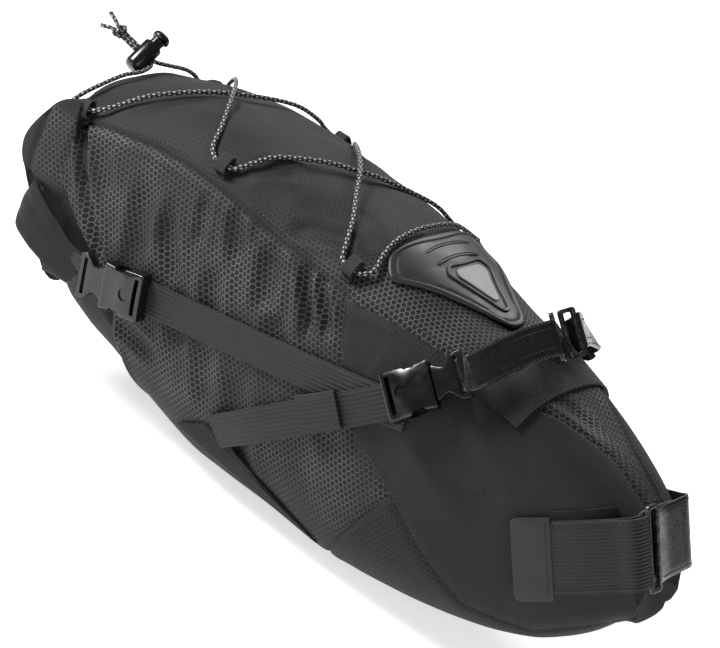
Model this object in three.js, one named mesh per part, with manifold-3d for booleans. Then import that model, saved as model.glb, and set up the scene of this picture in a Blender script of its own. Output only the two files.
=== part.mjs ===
// Roll-top bicycle saddle bag: a tapered fabric shell that hangs under a saddle and straps to the seatpost.
// Millimetres, +X towards the nose, +Z up, the belly rests on z = 0.
import * as THREE from 'three';
import { mergeVertices } from 'three/addons/utils/BufferGeometryUtils.js';
import Module from 'manifold-3d';

const wasm = await Module();
wasm.setup();

// ---- driving dimensions ----
const bagLength = 534;        // fabric shell, mouth's top edge to nose tip
const bagWidth = 184;         // fabric shell at its widest
const bagHeight = 232;        // belly to top
const wall = 3;               // shell fabric with its foam
const gap = 0.4;              // between pieces that touch
const clearance = 1.2;        // between the throat sleeve and the shell
const webbing = { width: 25, thickness: 1.6 };
const strap = { width: 50, thickness: 1.8 };
const leather = { width: 25, thickness: 2.6 };
const cord = { radius: 1.6, sides: 8 };
const mouthLean = 21;         // degrees between the mouth and vertical
const pullAngle = 14;         // degrees that the roll-top pulls downwards
const rollTravel = 45;
const faceLean = 32;          // degrees between the seatpost face and vertical
const strapRise = 11;         // seatpost strap above the face's middle
const strapReach = 42;        // strap's free end, back from the face
const buckle = {
  length: 34, width: webbing.width + 9, thickness: 11, wall: 2.2, side: 3.3, endBlock: 9.5,
  window: [13.5, 25], slot: [3, 6.2], maleLength: 57, tongue: 3, play: 0.4, hinge: [34.0, 10.3],
};
const lock = { radius: 7.5, length: 24, bore: 5.4, stem: 5.0, cap: 7, travel: 5, floor: 2.5, middle: 14.4 };
const eye = { length: 10, width: 15, height: 8.6, wall: 1.3 };
const cushion = { width: 54, height: 50, thickness: 3 };
const stiffener = { length: 130, width: 58, thickness: 2 };
const patch = { rear: 20, front: 106, halfWidth: 64, thickness: 2.4 };
const emblem = { rear: 50, front: 88, halfWidth: 22, thickness: 1.2 };
const label = { length: 23, width: 56, thickness: 2.4 };
const ring = { wire: 3, play: 1.5, reach: 13, seat: 1.0 };

// Share of the length from the tail, then half width, bottom and top as shares of half the width and the height.
const profile = [
  [0.000, 0.925, 0.280, 0.848], [0.047, 0.950, 0.236, 0.889], [0.094, 0.970, 0.185, 0.932],
  [0.187, 0.995, 0.090, 0.990], [0.281, 1.000, 0.045, 1.000], [0.375, 1.000, -0.012, 0.994],
  [0.506, 0.995, -0.014, 0.974], [0.618, 0.970, -0.012, 0.915], [0.730, 0.890, 0.040, 0.856],
  [0.824, 0.770, 0.095, 0.796], [0.890, 0.655, 0.160, 0.740], [0.936, 0.550, 0.236, 0.688],
  [0.977, 0.420, 0.324, 0.636], [1.000, 0.270, 0.392, 0.580],
];
const tailX = -250;
const roundness = 2.8;        // exponent of the shell's rounded section

// ---- vectors and solids ----
const V = (x, y, z) => new THREE.Vector3(x, y, z);
const deg = THREE.MathUtils.degToRad;
const lerp = THREE.MathUtils.lerp;
const leanVector = (angle) => V(Math.cos(deg(angle)), 0, Math.sin(deg(angle)));

function material(color, roughness, metalness = 0) {
  return new THREE.MeshStandardMaterial({ color, roughness, metalness });
}

const finish = {
  honeycomb: () => material('#2a2b2d', 0.62),
  canvas: () => material('#1d1e20', 0.85),
  webbing: () => material('#1b1c1e', 0.75),
  leather: () => material('#242527', 0.4),
  rubber: () => material('#2b2c2f', 0.5),
  plastic: () => material('#141516', 0.28),
  metal: () => material('#3a3b3d', 0.3, 0.9),
  cord: () => material('#6a6b6d', 0.6),
  pale: () => material('#8d8f92', 0.5),
  foam: () => material('#303134', 0.9),
};

function toSolid(geometry) {
  const bare = geometry.clone();
  bare.deleteAttribute('normal');
  bare.deleteAttribute('uv');
  const merged = mergeVertices(bare, 1e-5);
  return new wasm.Manifold(new wasm.Mesh({
    numProp: 3,
    vertProperties: new Float32Array(merged.attributes.position.array),
    triVerts: new Uint32Array(merged.index.array),
  }));
}

function toGeometry(solid) {
  const mesh = solid.getMesh();
  const geometry = new THREE.BufferGeometry();
  geometry.setAttribute('position', new THREE.BufferAttribute(new Float32Array(mesh.vertProperties), 3));
  geometry.setIndex(new THREE.BufferAttribute(new Uint32Array(mesh.triVerts), 1));
  geometry.computeVertexNormals();
  return geometry;
}

function cut(geometry, ...tools) {
  let solid = toSolid(geometry);
  for (const tool of tools) solid = solid.subtract(toSolid(tool));
  return toGeometry(solid);
}

function join(geometry, ...others) {
  let solid = toSolid(geometry);
  for (const other of others) solid = solid.add(toSolid(other));
  return toGeometry(solid);
}

function block(low, high) {
  const size = high.map((value, i) => value - low[i]);
  const box = new THREE.BoxGeometry(...size);
  return box.translate(...low.map((value, i) => value + size[i] / 2));
}

function plate(points, low, high, holes = []) {
  const shape = new THREE.Shape(points.map(([x, y]) => new THREE.Vector2(x, y)));
  for (const hole of holes) shape.holes.push(new THREE.Path(hole.map(([x, y]) => new THREE.Vector2(x, y))));
  const solid = new THREE.ExtrudeGeometry(shape, { depth: high - low, bevelEnabled: false });
  return solid.translate(0, 0, low);
}

function rounded(width, height, radius, steps = 4) {
  const corners = [[1, 1, 0], [-1, 1, 90], [-1, -1, 180], [1, -1, 270]];
  const points = [];
  for (const [sx, sy, start] of corners) {
    for (let i = 0; i <= steps; i += 1) {
      const angle = deg(start + (90 * i) / steps);
      const x = sx * (width / 2 - radius) + radius * Math.cos(angle);
      const y = sy * (height / 2 - radius) + radius * Math.sin(angle);
      points.push([x, y]);
    }
  }
  return points;
}

// A closed body through rings of equal count; the end rings are closed by fans.
function loft(rings) {
  const count = rings[0].length;
  const points = rings.flat();
  const faces = [];
  for (let r = 0; r < rings.length - 1; r += 1) {
    for (let i = 0; i < count; i += 1) {
      const a = r * count + i;
      const b = r * count + ((i + 1) % count);
      faces.push([a, b, b + count], [a, b + count, a + count]);
    }
  }
  for (const [ringIndex, flip] of [[0, true], [rings.length - 1, false]]) {
    const centre = rings[ringIndex].reduce((sum, p) => sum.add(p), V(0, 0, 0)).divideScalar(count);
    const hub = points.push(centre) - 1;
    for (let i = 0; i < count; i += 1) {
      const a = ringIndex * count + i;
      const b = ringIndex * count + ((i + 1) % count);
      faces.push(flip ? [hub, b, a] : [hub, a, b]);
    }
  }
  const geometry = new THREE.BufferGeometry().setFromPoints(points);
  geometry.setIndex(faces.flat());
  return volumeOf(geometry) < 0 ? flipped(geometry) : geometry;
}

function volumeOf(geometry) {
  const p = geometry.attributes.position;
  const index = geometry.index.array;
  const [a, b, c] = [V(0, 0, 0), V(0, 0, 0), V(0, 0, 0)];
  let total = 0;
  for (let i = 0; i < index.length; i += 3) {
    a.fromBufferAttribute(p, index[i]);
    b.fromBufferAttribute(p, index[i + 1]);
    c.fromBufferAttribute(p, index[i + 2]);
    total += a.dot(b.cross(c));
  }
  return total;
}

function flipped(geometry) {
  const index = Array.from(geometry.index.array);
  for (let i = 0; i < index.length; i += 3) [index[i], index[i + 1]] = [index[i + 1], index[i]];
  geometry.setIndex(index);
  return geometry;
}

// A flat band of constant section along points, with its width along widthAt(i).
function ribbon(points, widthAt, width, thickness) {
  const rings = points.map((p, i) => {
    const along = points[Math.min(i + 1, points.length - 1)].clone().sub(points[Math.max(i - 1, 0)]).normalize();
    const across = widthAt(i).clone().addScaledVector(along, -widthAt(i).dot(along)).normalize();
    const out = across.clone().cross(along).normalize();
    return [[1, 1], [-1, 1], [-1, -1], [1, -1]].map(([s, t]) => p.clone()
      .addScaledVector(across, (s * width) / 2).addScaledVector(out, (t * thickness) / 2));
  });
  return loft(rings);
}

// ---- the shell's surface ----
const halfWide = bagWidth / 2;

function station(x) {
  const share = THREE.MathUtils.clamp((x - tailX) / bagLength, 0, 1);
  const next = Math.max(1, profile.findIndex((row) => row[0] >= share));
  const [a, b] = [profile[next - 1], profile[next]];
  const t = (share - a[0]) / (b[0] - a[0]);
  const [half, low, high] = [1, 2, 3].map((k) => lerp(a[k], b[k], t));
  return { half: half * halfWide, low: low * bagHeight, high: high * bagHeight };
}

function section(x, inset = 0, count = 32) {
  const { half, low, high } = station(x);
  const rise = (high - low) / 2 - inset;
  const power = 2 / roundness;
  return Array.from({ length: count }, (_, i) => {
    const angle = (2 * Math.PI * i) / count;
    const c = Math.cos(angle);
    const s = Math.sin(angle);
    const y = (half - inset) * Math.sign(c) * Math.abs(c) ** power;
    const z = (high + low) / 2 + rise * Math.sign(s) * Math.abs(s) ** power;
    return V(x, Math.abs(c) < 1e-9 ? 0 : y, z);
  });
}

// side is -1 on the right of the bag and 1 on the left
function sideY(x, z) {
  const { half, low, high } = station(x);
  const share = Math.min(1, Math.abs(z - (high + low) / 2) / ((high - low) / 2));
  return half * (1 - share ** roundness) ** (1 / roundness);
}

function topZ(x, y) {
  const { half, low, high } = station(x);
  const share = Math.min(1, Math.abs(y) / half);
  return (high + low) / 2 + ((high - low) / 2) * (1 - share ** roundness) ** (1 / roundness);
}

function sideNormal(x, z, side) {
  const step = 2;
  const dx = (sideY(x + step, z) - sideY(x - step, z)) / (2 * step);
  const dz = (sideY(x, z + step) - sideY(x, z - step)) / (2 * step);
  return V(-dx, side, -dz).normalize();
}

function onSide(x, z, side, lift) {
  return V(x, side * sideY(x, z), z).addScaledVector(sideNormal(x, z, side), lift);
}

function topNormal(x, y) {
  const step = 2;
  const dx = (topZ(x + step, y) - topZ(x - step, y)) / (2 * step);
  const dy = (topZ(x, y + step) - topZ(x, y - step)) / (2 * step);
  return V(-dx, -dy, 1).normalize();
}

function onTop(x, y, lift) {
  return V(x, y, topZ(x, y)).addScaledVector(topNormal(x, y), lift);
}

function sideBand(from, to, side, lift, steps = 12) {
  const spots = Array.from({ length: steps + 1 }, (_, i) => [
    lerp(from[0], to[0], i / steps), lerp(from[1], to[1], i / steps)]);
  const points = spots.map(([x, z]) => onSide(x, z, side, lift));
  const widthAt = (i) => {
    const along = points[Math.min(i + 1, steps)].clone().sub(points[Math.max(i - 1, 0)]);
    return along.cross(sideNormal(...spots[i], side));
  };
  return ribbon(points, widthAt, webbing.width, webbing.thickness);
}

// ---- planes that close the shell ----
const mouthTop = V(tailX + 8, 0, 0.83 * bagHeight);
const mouthOut = leanVector(180 + mouthLean);
const mouthDown = V(-mouthOut.z, 0, mouthOut.x);
const pull = leanVector(180 + pullAngle);
const faceOut = leanVector(faceLean);
const faceUp = V(-faceOut.z, 0, faceOut.x);
const noseTip = tailX + bagLength;
const faceCentre = V(noseTip - 17, 0, 0.552 * bagHeight);

function halfSpace(origin, out, reach = 400) {
  const box = new THREE.BoxGeometry(reach, 2 * reach, 2 * reach).translate(reach / 2, 0, 0);
  box.applyQuaternion(new THREE.Quaternion().setFromUnitVectors(V(1, 0, 0), out));
  return box.translate(origin.x, origin.y, origin.z);
}

function bagSolid(inset) {
  const xs = profile.map((row) => tailX + row[0] * bagLength);
  const hull = loft(xs.map((x) => section(x, inset)));
  const belly = halfSpace(V(0, 0, inset), V(0, 0, -1));
  const face = halfSpace(faceCentre.clone().addScaledVector(faceOut, -inset), faceOut);
  return cut(hull, belly, face);
}

function shell() {
  const mouth = halfSpace(mouthTop, mouthOut);
  return cut(bagSolid(0), bagSolid(wall), mouth);
}

// ---- the roll-top ----
const mouthSpan = (0.83 - 0.27) * bagHeight / Math.cos(deg(mouthLean));

// A section parallel to the mouth: inset from its edge, moved along the pull and squeezed towards its middle.
function mouthRing(inset, distance, squeeze = 1, drop = 0, count = 28) {
  const half = 0.93 * halfWide - inset;
  const tall = mouthSpan / 2 - inset;
  const centre = mouthTop.clone().addScaledVector(mouthDown, mouthSpan / 2 + drop).addScaledVector(pull, distance);
  const power = 2 / roundness;
  return Array.from({ length: count }, (_, i) => {
    const angle = (2 * Math.PI * i) / count;
    const c = Math.cos(angle);
    const s = Math.sin(angle);
    const y = Math.abs(c) < 1e-9 ? 0 : half * Math.sign(c) * Math.abs(c) ** power;
    const down = -tall * squeeze * Math.sign(s) * Math.abs(s) ** power;
    return centre.clone().add(V(0, y, 0)).addScaledVector(mouthDown, down);
  });
}

const sleeveInset = wall + clearance;

function throatSleeve() {
  const outer = loft([mouthRing(sleeveInset, -rollTravel), mouthRing(sleeveInset, gap)]);
  const inner = loft([mouthRing(sleeveInset + 1.6, -rollTravel - 1), mouthRing(sleeveInset + 1.6, 2)]);
  return cut(outer, inner);
}

const rollRows = [
  // distance along the pull, squeeze, drop towards the belly
  [2 * gap, 1.00, 0], [8, 1.00, 0], [20, 0.86, 1], [30, 0.62, 1], [37, 0.36, 0], [40, 0.14, -1],
];
const rollStrip = { width: 150, height: 22, thickness: 1.6, depth: 22 };

function stripAt(grow) {
  const box = new THREE.BoxGeometry(rollStrip.thickness + grow, rollStrip.width, rollStrip.height + grow);
  box.applyQuaternion(new THREE.Quaternion().setFromUnitVectors(V(1, 0, 0), mouthOut));
  const at = mouthTop.clone().addScaledVector(mouthDown, mouthSpan / 2).addScaledVector(pull, rollStrip.depth);
  return box.translate(at.x, at.y, at.z);
}

function rollPocket() {
  const pocket = stripAt(2 * gap);
  return pocket.scale(1, 1.6, 1);
}

function rollTop() {
  const body = loft(rollRows.map(([distance, squeeze, drop]) => mouthRing(0.5, distance, squeeze, drop)));
  return cut(body, rollPocket());
}

// ---- side-release buckles, along local X from the female's end, Z outwards ----
function femaleBuckle() {
  const { length, width, thickness, endBlock, window, slot } = buckle;
  const half = width / 2;
  const inner = half - buckle.side;
  const [low, high] = [buckle.wall, thickness - buckle.wall];
  const outline = rounded(length, width, 4).map(([x, y]) => [x + length / 2, y]);
  const tools = [
    block([endBlock, -inner, low], [length + 1, inner, high]),
    block([slot[0], -webbing.width / 2 - 0.6, -1], [slot[1], webbing.width / 2 + 0.6, thickness + 1]),
    block([window[0], inner - 0.1, low], [window[1], half + 1, high]),
    block([window[0], -half - 1, low], [window[1], -inner + 0.1, high]),
  ];
  return cut(plate(outline, 0, thickness), ...tools);
}

const prongLow = buckle.wall + buckle.play + 0.4;
const prongHigh = buckle.thickness - prongLow;

function maleBuckle() {
  const inner = buckle.width / 2 - buckle.side;
  const root = buckle.length + buckle.play;
  const end = buckle.maleLength;
  const half = buckle.width / 2 - 1;
  const outline = [
    [root, -inner + 1.2], [root + 6, -9.5], [root + 12, -9.5], [end - 8, -half], [end, -half + 1.5],
    [end, half - 1.5], [end - 8, half], [root + 12, 9.5], [root + 6, 9.5], [root, inner - 1.2],
  ];
  const reach = webbing.width / 2 + 0.6;
  const bar = [[end - 6.4, -reach], [end - 6.4, reach], [end - 3.2, reach], [end - 3.2, -reach]];
  const body = plate(outline, prongLow - 0.4, prongHigh + 0.4, [bar]);
  const tongue = block([buckle.endBlock + 2, -buckle.tongue, prongLow], [root + 1, buckle.tongue, prongHigh]);
  return join(body, tongue);
}

// The hook's long ramp turns in as the male slides out, so it clears the window's edge.
function prong(side) {
  const inner = buckle.width / 2 - buckle.side;
  const [front, back] = buckle.window;
  const root = buckle.length - 0.2;
  const outline = [
    [root, inner - 1.7], [back + 0.2, inner - 0.5], [front + 4.5, inner + 0.6], [front + 1, inner - 1.2],
    [front, inner - 3.2], [front + 1, inner - 4.4], [front + 6.5, inner - 4.0], [root, inner - 5.1],
  ];
  return plate(outline.map(([x, y]) => [x, side * y]), prongLow, prongHigh);
}

function buckleFrame(origin, along, outwards) {
  const x = along.clone().normalize();
  const z = outwards.clone().addScaledVector(x, -outwards.dot(x)).normalize();
  const y = z.clone().cross(x);
  const frame = new THREE.Group();
  frame.quaternion.setFromRotationMatrix(new THREE.Matrix4().makeBasis(x, y, z));
  frame.position.copy(origin);
  return frame;
}

// ---- small fittings ----
function eyelet() {
  const outer = rounded(eye.width, eye.height, 3, 3);
  const inner = rounded(eye.width - 2 * eye.wall, eye.height - 2 * eye.wall, 2, 3);
  const solid = plate(outer, -eye.length / 2, eye.length / 2, [inner]);
  return solid.rotateX(Math.PI / 2).rotateZ(Math.PI / 2);
}

function rectangularRing(width, reach) {
  const outer = rounded(width + 2 * ring.play + 2 * ring.wire, reach, 2.4, 3);
  const inner = rounded(width + 2 * ring.play, reach - 2 * ring.wire, 1, 2);
  return plate(outer, -ring.wire / 2, ring.wire / 2, [inner]);
}

function lathe(points, segments = 20) {
  const turned = new THREE.LatheGeometry(points.map(([x, y]) => new THREE.Vector2(x, y)), segments);
  return turned.rotateX(Math.PI / 2);
}

const cordSlot = { width: 4.4, length: 7.8 };

function lockBarrel() {
  const { radius, length, bore, floor } = lock;
  const body = lathe([[0, 0], [radius - 2, 0], [radius, 2], [radius, length], [bore, length], [bore, floor], [0, floor]]);
  const slot = block([-20, -cordSlot.width / 2, lock.middle - cordSlot.length / 2],
    [20, cordSlot.width / 2, lock.middle + cordSlot.length / 2]);
  return cut(body, slot);
}

function lockPlunger() {
  const { length, stem, cap, travel, floor } = lock;
  const foot = floor + travel + 1.4;
  const collar = length + travel + 0.8;
  const body = lathe([[0, foot], [stem, foot], [stem, collar], [cap, collar], [cap, collar + 2.5],
    [cap - 1.5, collar + 4.5], [cap - 4, collar + 5.5], [0, collar + 5.8]]);
  const low = lock.middle - cordSlot.length / 2;
  const high = lock.middle + cordSlot.length / 2 + travel;
  return cut(body, block([-20, -cordSlot.width / 2 - 0.1, low], [20, cordSlot.width / 2 + 0.1, high]));
}

class Helix extends THREE.Curve {
  getPoint(t) {
    const turns = 3;
    const angle = 2 * Math.PI * turns * t;
    const low = lock.floor + 0.8;
    const high = lock.floor + lock.travel + 0.6;
    return V(3.6 * Math.cos(angle), 3.6 * Math.sin(angle), lerp(low, high, t));
  }
}

function lockSpring() {
  const wire = new THREE.Shape(rounded(0.8, 0.8, 0.39, 1).map(([x, y]) => new THREE.Vector2(x, y)));
  return new THREE.ExtrudeGeometry(wire, { steps: 42, bevelEnabled: false, extrudePath: new Helix() });
}

// ---- the bungee's route: x, y, z of the points that the cord runs through, from the lock and back to it ----
const bungeeRoute = [
  [-239, -12, 204.5], [-239, -32, 203.5], [-240, -52, 197.5], [-242, -66, 190.5], [-243, -75, 184],
  [-237.4, -77.2, 183], [-229, -77, 186.2], [-220.7, -76.6, 189.7], [-212, -70, 197.5], [-198, -52, 213],
  [-178, -24, 225], [-158, 6, 230.8], [-140, 36, 231], [-131, 58, 222.5], [-128, 69, 215], [-121.5, 73.4, 212],
  [-113, 73.5, 212.6], [-104.5, 73, 213.3], [-98, 65, 218.8], [-90, 48, 227.8], [-75, 27, 235], [-62, 10, 238],
  [-48, -8, 238], [-32, -30, 231.8], [-16, -50, 223.5], [-5, -66, 213.5], [1.5, -73.4, 206.2], [10.2, -74.1, 205.7],
  [18.8, -73.4, 206], [23, -67, 210.8], [18.5, -56, 217.6], [14.5, -38, 225.2], [13.5, -8, 229.8], [14, 28, 228.2],
  [15, 48, 222.2], [20.5, 60, 215.8], [24.5, 69, 209], [21, 73.7, 205.7], [13.2, 74.1, 205.5], [4.5, 73.7, 206], [-6, 63, 215.8], [-16, 48, 224.5],
  [-40, 14, 233], [-55, -4, 233.8], [-70, -22, 233.5], [-90, -48, 227.8], [-97, -63, 220.4], [-103, -72.6, 213.6],
  [-111, -73.5, 212.7], [-119.5, -73.4, 212], [-128, -68, 216], [-136, -54, 224], [-150, -32, 232],
  [-160, -16, 233.4], [-172, 3, 232], [-184, 21, 227], [-198, 42, 217.5], [-211, 60, 204], [-217, 71, 195.5],
  [-221.5, 76.4, 189.4], [-229, 77, 186.2], [-237.4, 77.2, 183], [-243, 74, 185], [-243, 64, 192],
  [-242.5, 48, 198.8], [-242, 24, 204.5],
];

const cordLockAt = V(-251, 2, 210);
const lockAxis = V(0, 0.71, 0.71).normalize();
const lockThrough = V(-0.9, -0.31, 0.31).normalize();
const strandOffset = 1.7;

// Its steps fall on the route's own points, so they are closest where the cord bends.
class Route extends THREE.CatmullRomCurve3 {
  getPointAt(t, target) {
    return this.getPoint(t, target);
  }

  getTangentAt(t, target) {
    return this.getTangent(t, target);
  }
}

// The two ends run side by side through the cord lock and stop at the knot.
function bungeePoints() {
  const through = (side, distance) => cordLockAt.clone()
    .addScaledVector(lockAxis, side * strandOffset).addScaledVector(lockThrough, distance);
  return [through(-1, 19), through(-1, 9), through(-1, 0), through(-1, -8.5), ...bungeeRoute.map((p) => V(...p)),
    through(1, -8.5), through(1, 0), through(1, 9), through(1, 19)];
}

function bungee() {
  const round = Array.from({ length: cord.sides }, (_, i) => {
    const angle = (2 * Math.PI * i) / cord.sides;
    return new THREE.Vector2(cord.radius * Math.cos(angle), cord.radius * Math.sin(angle));
  });
  const points = bungeePoints();
  const settings = { steps: points.length - 1, bevelEnabled: false, extrudePath: new Route(points) };
  return new THREE.ExtrudeGeometry(new THREE.Shape(round), settings);
}

function knot() {
  const ball = new THREE.IcosahedronGeometry(5.2, 1);
  const tail = (side) => {
    const leg = new THREE.CylinderGeometry(cord.radius, cord.radius, 18, cord.sides).translate(0, 12, 0);
    return leg.rotateZ(side * deg(14));
  };
  return join(ball, tail(1), tail(-1));
}

const eyelets = [
  ['bungee_loop_rear_right', -228, -73.5, 24], ['bungee_loop_middle_right', -111, -70, 8],
  ['bungee_loop_front_right', 10, -70.5, 0], ['bungee_loop_rear_left', -228, 73.5, -24],
  ['bungee_loop_middle_left', -113, 70, -8], ['bungee_loop_front_left', 13, 70.5, 0],
];

// ---- assembly ----
const bag = new THREE.Group();

function add(parent, name, geometry, look) {
  const mesh = new THREE.Mesh(geometry, look());
  mesh.name = name;
  parent.add(mesh);
  return mesh;
}

add(bag, 'bag_shell', shell(), finish.honeycomb);

function addRollTop() {
  add(bag, 'throat_sleeve', throatSleeve(), finish.canvas);
  add(bag, 'roll_top', rollTop(), finish.canvas);
  add(bag, 'roll_stiffener', stripAt(0), finish.plastic);
}

function addStiffener() {
  const centre = (profile[5][0] + profile[7][0]) / 2;
  const x = tailX + centre * bagLength;
  const outline = rounded(stiffener.length, stiffener.width, 8).map(([a, b]) => [a + x, b]);
  add(bag, 'base_stiffener', plate(outline, wall + gap, wall + gap + stiffener.thickness), finish.plastic);
}

function addBuckle(name, frame) {
  add(frame, `${name}_female`, femaleBuckle(), finish.plastic);
  add(frame, `${name}_male`, maleBuckle(), finish.plastic);
  add(frame, `${name}_prong_1`, prong(1), finish.plastic);
  add(frame, `${name}_prong_2`, prong(-1), finish.plastic);
  bag.add(frame);
}

const sides = [['right', -1], ['left', 1]];
const tailSpot = { x: tailX + 0.257 * bagLength, z: 0.453 * bagHeight };
const frontSpot = { x: tailX + 0.626 * bagLength, z: 0.647 * bagHeight };
const wingSpot = { x: tailX + 0.418 * bagLength, z: 0.215 * bagHeight };
const bandX = tailX + 0.727 * bagLength;

function tailBuckle(side) {
  const out = halfWide + gap;
  return buckleFrame(V(tailSpot.x, side * out, tailSpot.z), pull, V(0, side, 0));
}

const sideRadius = 70;        // how round the side is under the front buckle

function frontBuckle(side) {
  const sag = (buckle.width / 2) ** 2 / (2 * sideRadius);
  const lift = webbing.thickness + 3 * gap + sag;
  const origin = onSide(frontSpot.x, frontSpot.z, side, lift);
  return buckleFrame(origin, V(0.61, -side * 0.33, 0.71), V(0, side, 0.42));
}

function local(frame, x, y, z) {
  return V(x, y, z).applyQuaternion(frame.quaternion).add(frame.position);
}

function addWebbing(name, side, tail, front) {
  const lift = webbing.thickness / 2 + gap;
  const start = tailSpot.x + 2.5;
  const rise = (frontSpot.z - 0.02 * bagHeight - tailSpot.z) / (frontSpot.x - start);
  const end = [frontSpot.x + 14, tailSpot.z + rise * (frontSpot.x + 14 - start)];
  add(bag, `side_webbing_upper_${name}`, sideBand([start, tailSpot.z], end, side, lift), finish.webbing);
  const high = 3 * gap + 1.5 * webbing.thickness;
  const foot = [wingSpot.x, wingSpot.z];
  const head = [frontSpot.x - 0.72 * 2.4, frontSpot.z - 2.4];
  add(bag, `side_webbing_lower_${name}`, sideBand(foot, head, side, high), finish.webbing);
  const tab = sideBand([frontSpot.x - 52, frontSpot.z - 44], [frontSpot.x - 30, frontSpot.z - 25.4], side,
    high + webbing.thickness + gap, 3);
  add(bag, `pull_tab_${name}`, tab, finish.webbing);
  addRollEnd(name, side, tail);
  addRailStrap(name, side, front);
}

function addRollEnd(name, side, tail) {
  const middle = buckle.thickness / 2;
  const from = local(tail, buckle.maleLength + gap, 0, middle);
  const across = local(tail, 0, 1, 0).sub(tail.position);
  const points = [0, 8, 18, 30].map((distance, i) => from.clone()
    .addScaledVector(pull, distance).add(V(0, -side * [0, 0.6, 3.4, 9.4][i], 0)));
  add(bag, `roll_end_webbing_${name}`, ribbon(points, () => across, webbing.width - 1, webbing.thickness), finish.webbing);
}

function wing(side) {
  const lift = 0.5 * webbing.thickness + gap;
  const rows = [
    [tailX + 0.352 * bagLength, tailX + 0.600 * bagLength, 0.135],
    [tailX + 0.366 * bagLength, tailX + 0.540 * bagLength, 0.160],
    [tailX + 0.384 * bagLength, tailX + 0.485 * bagLength, 0.188],
    [tailX + 0.398 * bagLength, tailX + 0.440 * bagLength, 0.212],
  ];
  const steps = 6;
  const layer = (height) => rows.map(([from, to, z]) => Array.from({ length: steps + 1 }, (_, i) => {
    const x = lerp(from, to, i / steps);
    const drop = 0.055 * bagHeight * (i / steps) * (1 - (z - 0.135) / 0.077);
    return onSide(x, z * bagHeight - drop, side, height);
  }));
  const [under, over] = [layer(lift - 0.5), layer(lift + 0.5)];
  return loft(rows.map((_, r) => [...under[r], ...over[r].slice().reverse()]));
}

// A plate that follows the top between two lines across it, narrowing towards the nose.
function topPlate(size, lift, widthAt, rows = 9, columns = 8) {
  const rings = Array.from({ length: rows + 1 }, (_, r) => {
    const t = r / rows;
    const x = lerp(size.rear, size.front, t);
    const half = size.halfWidth * widthAt(t);
    const line = (height) => Array.from({ length: columns + 1 }, (__, c) => {
      return onTop(x, lerp(-half, half, c / columns), height);
    });
    return [...line(lift), ...line(lift + size.thickness).reverse()];
  });
  return loft(rings);
}

const triangle = (t) => (t < 0.16 ? 0.82 + 1.1 * t : Math.max(0.12, 0.996 - 1.02 * (t - 0.16)));

function addTop() {
  add(bag, 'top_patch', topPlate(patch, gap, triangle), finish.rubber);
  add(bag, 'patch_emblem', topPlate(emblem, 2 * gap + patch.thickness, triangle, 5, 4), finish.pale);
  const steps = 16;
  const points = Array.from({ length: steps + 1 }, (_, i) => {
    return onTop(bandX, lerp(-62, 62, i / steps), strap.thickness / 2 + gap + 0.4);
  });
  const slope = onTop(bandX + 20, 0, 0).sub(onTop(bandX - 20, 0, 0)).normalize();
  add(bag, 'saddle_band', ribbon(points, () => slope, strap.width, strap.thickness), finish.webbing);
}

const railAcross = V(-0.72, 0, 0.69).normalize();
const railEnd = V(2.5, 17, 26);      // the strap's fold over the ring: from the band's middle line
const railDip = V(-0.33, 0.88, -0.34).normalize();

function addRailStrap(name, side, front) {
  const crown = onTop(bandX, 0, 0);
  const fold = V(crown.x + railEnd.x, side * railEnd.y, crown.z + railEnd.z);
  const start = local(front, buckle.maleLength + 2 * gap, 0, buckle.thickness / 2);
  const along = local(front, 1, 0, 0).sub(front.position);
  const across = local(front, 0, 1, 0).sub(front.position).multiplyScalar(-side);
  const inwards = fold.clone().sub(start).normalize();
  const path = new THREE.CatmullRomCurve3([start, start.clone().addScaledVector(along, 9),
    fold.clone().addScaledVector(inwards, -24).add(V(0, side * 2, 3)), fold]);
  const points = path.getSpacedPoints(12);
  const turn = (i) => across.clone().lerp(railAcross, i / 12);
  add(bag, `rail_strap_${name}`, ribbon(points, turn, leather.width, leather.thickness), finish.leather);
  addRailRing(name, side, crown, points);
}

function addRailRing(name, side, crown, points) {
  const dip = V(railDip.x, -side * railDip.y, railDip.z);
  const out = railAcross.clone().cross(dip).normalize();
  const centre = points[12].clone().addScaledVector(dip, ring.reach / 2 + ring.seat + leather.thickness / 4);
  const body = rectangularRing(leather.width, ring.reach);
  body.applyMatrix4(new THREE.Matrix4().makeBasis(railAcross, out.clone().cross(railAcross), out));
  add(bag, `rail_ring_${name}`, body.translate(centre.x, centre.y, centre.z), finish.metal);
  const head = centre.clone().addScaledVector(dip, ring.reach / 2 + ring.seat + webbing.thickness / 2 + 0.3);
  const slope = onTop(bandX + 20, 0, 0).sub(onTop(bandX - 20, 0, 0)).normalize().negate();
  const bandTop = crown.z + (slope.z / slope.x) * (head.x - 2 - bandX) + strap.thickness + 2 * gap;
  const foot = V(head.x - 2, head.y, bandTop + 4 * gap);
  const rise = Array.from({ length: 6 }, (_, i) => foot.clone().lerp(head, i / 5));
  const turn = (i) => slope.clone().lerp(railAcross, (i / 5) ** 2);
  add(bag, `ring_tab_${name}`, ribbon(rise, turn, leather.width - 1, webbing.thickness), finish.webbing);
}

// ---- seatpost strap, in a plane at right angles to the seatpost ----
function postPoint(forward, y) {
  return faceCentre.clone().addScaledVector(faceOut, forward).addScaledVector(faceUp, strapRise).add(V(0, y, 0));
}

function noseHalf(forward) {
  let widest = 0;
  for (let up = -strap.width / 2; up <= strap.width / 2; up += 5) {
    const p = postPoint(forward, 0).addScaledVector(faceUp, up);
    if (p.x < noseTip) widest = Math.max(widest, sideY(p.x, p.z));
  }
  return widest;
}

function noseRun(side, lift, from, to, steps) {
  return Array.from({ length: steps + 1 }, (_, i) => {
    const forward = lerp(from, to, i / steps);
    return postPoint(forward, side * (noseHalf(forward) + lift));
  });
}

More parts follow.
